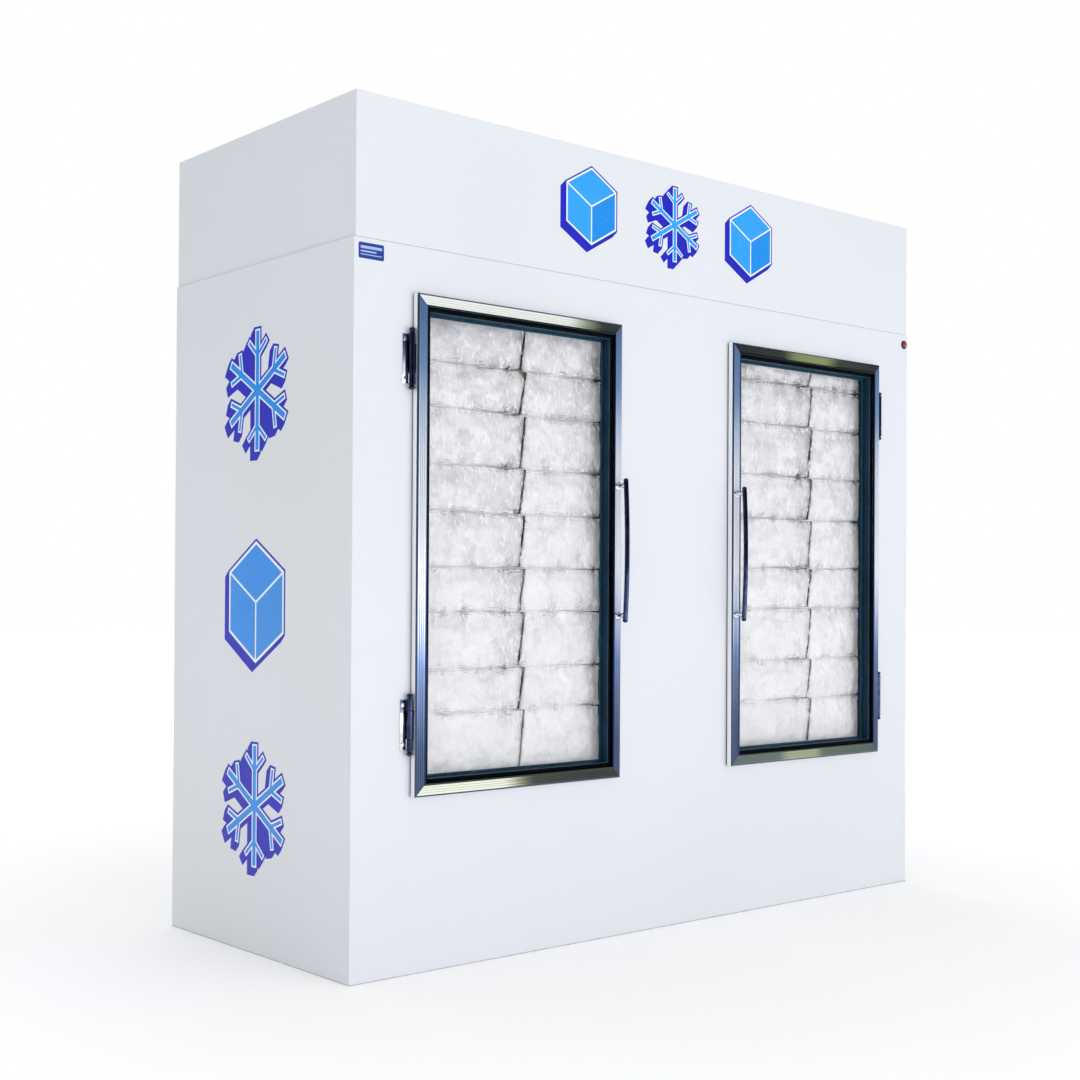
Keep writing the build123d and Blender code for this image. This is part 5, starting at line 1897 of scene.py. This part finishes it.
    def shape(
        self, unit: np.ndarray, half: np.ndarray, centre: np.ndarray, step: int, row: int
    ) -> tuple[np.ndarray, dict[str, np.ndarray]]:
        """Turns a unit cube's points into a settled bag's.

        Args:
            unit: Points on a cube from -1 to 1.
            half: The bag's half sizes.
            centre: The bag's middle.
            step: Its column: -1 for the left one of its door and 1 for the right one.
            row: The number of the layer.

        Returns:
            The points, and their painted shade with a random tone, their distance to a seam and how creased they
            are.
        """
        shaped = self.rounded(unit, half - np.array([0.0, self.crown / 2, 0.0]))
        across, up = shaped[:, 0] / half[0], shaped[:, 2] / half[2]
        front = np.clip(-shaped[:, 1] / half[1], 0.0, 1.0) ** 6
        deep = shaped[:, 1] + half[1]
        full = (1 - across**2) * (1 - up**4)
        if self.swells and len(self.swells[0]) == len(unit):
            film = self.swells[(row + (step > 0)) % self.patterns]
            full = self.cloth_share * film + (1 - self.cloth_share) * full
        shaped[:, 1] += self.crown / 2 - front * self.crown * full
        points = shaped + centre
        inner = np.clip(-step * across, 0.0, 1.0) ** 8
        points[:, 0] += self.lean * up * inner
        drop = np.zeros(len(points))
        for end, number in ((-1, row), (1, row + 1)):
            seam = sum(
                strength * self.run(points[:, 0], pace, number * shift)
                for pace, shift, strength in self.seam_waves
            )
            drop += self.droop * seam * np.clip(end * up, 0.0, 1.0)
        points[:, 2] += drop
        # Painted shade: the left column, the higher layers, each bag's right end, the film that lies back and the
        # gap between the columns come out darker; the bag tone is a random tone of the film.
        shade = self.column_shades[step > 0] + self.bag_tone * noise.noise((row * 3.3, step * 5.1, 0.0))
        shade = shade + self.height_shade * np.clip(points[:, 2] - self.rise_start, -0.6, 0.5)
        shade = shade + self.end_shade * np.clip(across, 0.0, 1.0) ** 1.5
        shade = shade + self.recess_shade * np.clip(deep / self.deep, 0.0, 1.0)
        rim = np.exp(-np.clip(half[0] + step * shaped[:, 0], 0.0, None) / self.rim_reach)
        inner = inner**3 * np.clip((deep - self.gap_start) / self.gap_fade, 0.0, 1.0)
        shade = shade + np.maximum(self.gap_shade * inner, self.rim_shade * rim)
        seam = half[2] - np.abs(shaped[:, 2])
        gathers, crease = self.gathers(points, centre, half, front, step, row)
        return points, {"shade": shade + gathers, "seam": seam, "crease": crease}

    def run(self, places: np.ndarray, pace: float, start: float) -> np.ndarray:
        """Smooth noise along a line."""
        return np.array([noise.noise((place * pace + start, start, 0.5)) for place in places])

    def gathers(
        self, points: np.ndarray, centre: np.ndarray, half: np.ndarray, front: np.ndarray, step: int, row: int
    ) -> tuple[np.ndarray, np.ndarray]:
        """Draws the film into knots on the seams and creases it near them.

        Args:
            points: The bag's points, which are changed.
            centre: The bag's middle.
            half: The bag's half sizes.
            front: How much of each point belongs to the front.
            step: The bag's column.
            row: The number of the layer.

        Returns:
            How much painted shade the gathers get, partly the grey of ice patches through the film, and how
            creased the film is, point by point.
        """
        knot = self.knot
        shade, crease = np.zeros(len(points)), np.zeros(len(points))
        for end, number in ((-1, row), (1, row + 1)):
            sway = knot.sway * noise.noise((number * 1.7, 4.2, 0.0))
            dx = points[:, 0] - (centre[0] + half[0] - knot.insets[step > 0] + sway)
            dz = points[:, 2] - (centre[2] + end * half[2])
            far, beside = np.hypot(dx, dz), np.abs(dz)
            ring = np.exp(-(((far - knot.ring) / knot.ring_width) ** 2))
            turns = [
                noise.noise((knot.ray_pace * math.cos(turn), knot.ray_pace * math.sin(turn), number * 2.3))
                for turn in np.arctan2(dz, dx)
            ]
            rays = knot.ray_strength * np.array(turns) * ring
            puckers = self.run(points[:, 0], knot.pucker_pace, number * 5.7)
            patches = self.run(points[:, 0], knot.patch_pace, number * 2.9)
            points[:, 1] += front * knot.dent * np.exp(-((far / knot.dent_radius) ** 2))
            points[:, 1] += front * knot.ray_depth * rays
            points[:, 1] += front * np.exp(-beside / knot.pucker_reach) * knot.pucker * puckers
            # Painted shade in the knot's pit, round its ring and along the seam; the patches are partly the grey
            # of the ice through the film.
            dark = knot.pit_shades[number % 2] * np.exp(-((far / knot.dark_radius) ** 2))
            shade += front * (dark + knot.ring_shade * ring * (0.25 + rays))
            reach = np.exp(-beside / (knot.seam_reach + knot.patch_reach * np.clip(patches, 0.0, 1.0)))
            tone = knot.seam_shade + knot.patch_tone_and_shade * np.clip(patches + 0.5 * puckers, -0.2, 1.0)
            shade += front * reach * tone
            near = knot.crease * np.exp(-((far / knot.crease_radius) ** 2))
            crease += front * (near + knot.seam_crease * np.exp(-beside / knot.seam_crease_reach))
        return shade, crease

    def lump(self, bm: BMesh) -> None:
        """Presses the ice's lumps through the film.

        Args:
            bm: The bag's mesh.
        """
        bm.normal_update()
        (coarse_pace, coarse), (fine_pace, fine) = self.coarse_lumps, self.fine_lumps
        shift = Vector((3.0, 7.0, 1.0))
        moves = []
        for vert in bm.verts:
            lump = coarse * noise.noise(vert.co * coarse_pace)
            lump += fine * noise.noise(vert.co * fine_pace + shift)
            moves.append(vert.co + vert.normal * (lump - self.sink))
        for vert, place in zip(bm.verts, moves):
            vert.co = place


# Decals


class Ink(IntEnum):
    """The inks of a motif."""

    SHADOW = 0
    LINE = 1
    LEFT = 2
    RIGHT = 3
    TOP = 4


# The ink of each face of the cube, by its direction from the middle in degrees.
CUBE_INKS = {90: Ink.TOP, 210: Ink.LEFT, 330: Ink.RIGHT}


@dataclass
class Decals:
    """Generic ice motifs in vinyl: faceted cubes and snow crystals, each over a dark drop shadow."""

    face_y: float = FACE_Y
    side_x: float = SIDE_X
    header_z: float = 1.859
    header_spacing: float = 0.300
    header_height: float = 0.206
    side_heights: tuple[float, float, float] = (0.3580, 0.8521, 1.3680)
    side_height: float = 0.310
    shadow: float = 0.016
    arm: float = 0.034
    thickness: float = 0.0004
    outline: float = 0.0055
    inline: float = 0.0040
    divider: float = 0.7
    shadow_lift: float = 0.4
    motif_lift: float = 0.9
    branch_lean: float = 50.0
    branch_root: tuple[float, float] = (0.075, 0.34)
    branch_reach: float = 0.1
    branch_width: float = 0.4

    def flake(self, height: float) -> list[tuple[float, float]]:
        """The outline of a six-armed snow crystal.

        Args:
            height: Its height.

        Returns:
            Its corners, counted from its middle.
        """
        scale = height / self.side_height
        half = self.arm * scale / 2
        lean = math.radians(self.branch_lean)
        along = Vector((math.sin(lean), math.cos(lean)))
        over = Vector((math.cos(lean), -math.sin(lean)))
        root = Vector(self.branch_root) * height
        reach, wide = self.branch_reach * height, self.arm * scale * self.branch_width
        low_tip = root + along * reach + over * wide
        high_tip = root + along * reach - over * wide
        low_root = low_tip - along * ((low_tip.x - half) / along.x)
        high_root = high_tip - along * ((high_tip.x - half) / along.x)
        right = [low_root, low_tip, high_tip, high_root, Vector((half, height / 2))]
        valley = Vector((half, half / math.tan(math.radians(30.0))))
        sector = [valley, *right, *[Vector((-p.x, p.y)) for p in reversed(right)]]
        points = []
        for number in range(6):
            turn = Matrix.Rotation(math.radians(60.0 * number), 2)
            points += [tuple(turn @ point) for point in sector]
        return points

    def cube(self, height: float) -> list[tuple[float, float]]:
        """The outline of a cube seen over a corner."""
        angles = [math.radians(90 + 60 * number) for number in range(6)]
        return [(height / 2 * math.cos(angle), height / 2 * math.sin(angle)) for angle in angles]

    def sheet(self, bm: BMesh, outline: Sequence[Point], place: Matrix, lift: float) -> BMFace:
        """Adds one flat layer of vinyl, with its rim down to the panel.

        Args:
            bm: The mesh that gets it.
            outline: Its outline.
            place: Where it lies, with the panel's outward direction as its own Z.
            lift: How far its face stands off the panel.

        Returns:
            The layer's face.
        """
        face = flat_face(bm, [place @ Vector((*point, 0.0)) for point in outline])
        made = bmesh.ops.extrude_face_region(bm, geom=[face])["geom"]
        vec = place.to_3x3() @ Vector((0.0, 0.0, lift))
        bmesh.ops.translate(bm, vec=vec, verts=of_kind(made, BMVert))
        return of_kind(made, BMFace)[0]

    def cast(self, bm: BMesh, outline: Sequence[Point], place: Matrix) -> None:
        """Adds the drop shadow: all that the outline covers on its way to the lower left.

        Args:
            bm: The mesh that gets it.
            outline: The motif's outline.
            place: Where the motif lies.
        """
        points = [Vector(point) for point in outline]
        away = Vector((-self.shadow, -self.shadow))
        rings = [points, [point + away for point in points]]
        rings += [[a, a + away, b + away, b] for a, b in zip(points, points[1:] + points[:1])]
        coords, faces = [], []
        for ring in rings:
            faces.append(list(range(len(coords), len(coords) + len(ring))))
            coords += ring
        coords, _, faces, *_ = delaunay_2d_cdt(coords, [], faces, 1, 1e-6)
        verts = [bm.verts.new(place @ Vector((*point, 0.0))) for point in coords]
        sheets = [bm.faces.new([verts[number] for number in face]) for face in faces]
        made = bmesh.ops.extrude_face_region(bm, geom=sheets)["geom"]
        vec = place.to_3x3() @ Vector((0.0, 0.0, self.thickness * self.shadow_lift))
        bmesh.ops.translate(bm, vec=vec, verts=of_kind(made, BMVert))

    def motif(self, bm: BMesh, shape: Callable, height: float, place: Matrix) -> None:
        """Adds one motif with its shadow, its dark outline, its white line and its blue faces.

        Args:
            bm: The mesh that gets it.
            shape: The method that gives its outline.
            height: Its height.
            place: Where it lies.
        """
        outline = shape(height)
        scale = height / self.side_height
        self.cast(bm, outline, place)
        upper = self.sheet(bm, outline, place, self.thickness * self.motif_lift)
        for width, ink in ((self.outline * scale, Ink.LINE), (self.inline * scale, Ink.LEFT)):
            bmesh.ops.inset_region(bm, faces=[upper], thickness=width, use_even_offset=True)
            upper.material_index = ink
        if shape == self.cube:
            self.divide(bm, upper, place, self.inline * scale * self.divider)

    def divide(self, bm: BMesh, hexagon: BMFace, place: Matrix, rim: float) -> None:
        """Divides the cube's outline into its three faces, with a white line between them.

        Args:
            bm: The mesh that holds it.
            hexagon: The face inside the outline.
            place: Where the motif lies.
            rim: Half the width of the line.
        """
        flat = place.inverted()
        [hub] = bmesh.ops.poke(bm, faces=[hexagon])["verts"]
        ends = {edge: flat @ edge.other_vert(hub).co for edge in hub.link_edges}
        hidden = [edge for edge, end in ends.items() if self.bearing(end) in CUBE_INKS]
        bmesh.ops.dissolve_edges(bm, edges=hidden)
        faces = hub.link_faces[:]
        for face in faces:
            face.material_index = CUBE_INKS[self.bearing(flat @ face.calc_center_median())]
        rims = bmesh.ops.inset_individual(bm, faces=faces, thickness=rim, use_even_offset=True)["faces"]
        for face in rims:
            face.material_index = Ink.LINE

    def bearing(self, point: Vector) -> int:
        """A point's direction from the middle, to the next 30 degrees."""
        return round(math.degrees(math.atan2(point.y, point.x)) / 30) * 30 % 360

    def build(self) -> None:
        """Builds the motifs of the header and of both sides."""
        inks = [VINYL_NAVY, VINYL_WHITE, VINYL_FACE, VINYL_DEEP, VINYL_FACE]
        bm = bmesh.new()
        axes = Matrix(((1, 0, 0), (0, 0, -1), (0, 1, 0))).to_4x4()
        for number, shape in ((-1, self.cube), (0, self.flake), (1, self.cube)):
            corner = (number * self.header_spacing, self.face_y, self.header_z)
            self.motif(bm, shape, self.header_height, Matrix.Translation(corner) @ axes)
        finished(bm, "header_decals", "cabinet", inks, ["vinyl_decals"], smooth=None)
        inks = [VINYL_NAVY, VINYL_WHITE, VINYL_SIDE, VINYL_DEEP, VINYL_SIDE]
        for side in SIDES:
            bm = bmesh.new()
            axes = Matrix(((0, 0, side.sign), (side.sign, 0, 0), (0, 1, 0))).to_4x4()
            for height, shape in zip(self.side_heights, (self.flake, self.cube, self.flake)):
                place = Matrix.Translation((side.sign * self.side_x, 0.0, height)) @ axes
                self.motif(bm, shape, self.side_height, place)
            finished(bm, f"{side.prefix}_side_decals", "cabinet", inks, smooth=None)


# Carried-over nodes


def dress_nodes() -> None:
    """Gives every CAD node that stays its own finish."""
    by_slot = {
        "painted_steel": WHITE_PAINT,
        "galvanised": ZINC_SHEET,
        "liner_sheet": LINER_SHEET,
        "foam": FOAM,
        "anodised_aluminium": STILE_METAL,
        "dark_plastic": REVEAL_PLASTIC,
        "glazing": GLASS,
        "gasket": GASKET_RUBBER,
        "chrome": CHROME,
        "zinc_screw": ZINC_PLATE,
        "black_enamel": BLACK_ENAMEL,
        "copper": COPPER,
        "coil_fins": FINS,
        "motor_steel": MOTOR_METAL,
        "fan_blade": FAN_METAL,
        "black_plastic": BLACK_PLASTIC,
        "white_plastic": WHITE_PLASTIC,
        "grommet": GROMMET_RUBBER,
        "lamp_red": LENS,
        "ice_bag": ICE_FILM,
        "vinyl": VINYL_FACE,
    }
    for row in frame["record"]["subparts"]:
        node = frame["nodes"][row["node"]]
        finish = by_slot[row["material_slot"]]
        if not node.material_slots:
            node.data.materials.append(None)
        for slot in node.material_slots:
            slot.material = finish.material()


def main() -> None:
    """Builds the scene's pieces in order."""
    logging.basicConfig(level=logging.INFO, format="%(message)s")
    Studio().build()
    dress_nodes()
    for side in SIDES:
        DoorFrame(side).build()
        GlassSpacer(side).build()
        DoorHandle(side).build()
    HingePins().build()
    HingePlates().build()
    PilotLamp().build()
    RatingPlace().build()
    LouvreHoods().build()
    IceBags().build()
    Decals().build()


if __name__ == "__main__":
    main()
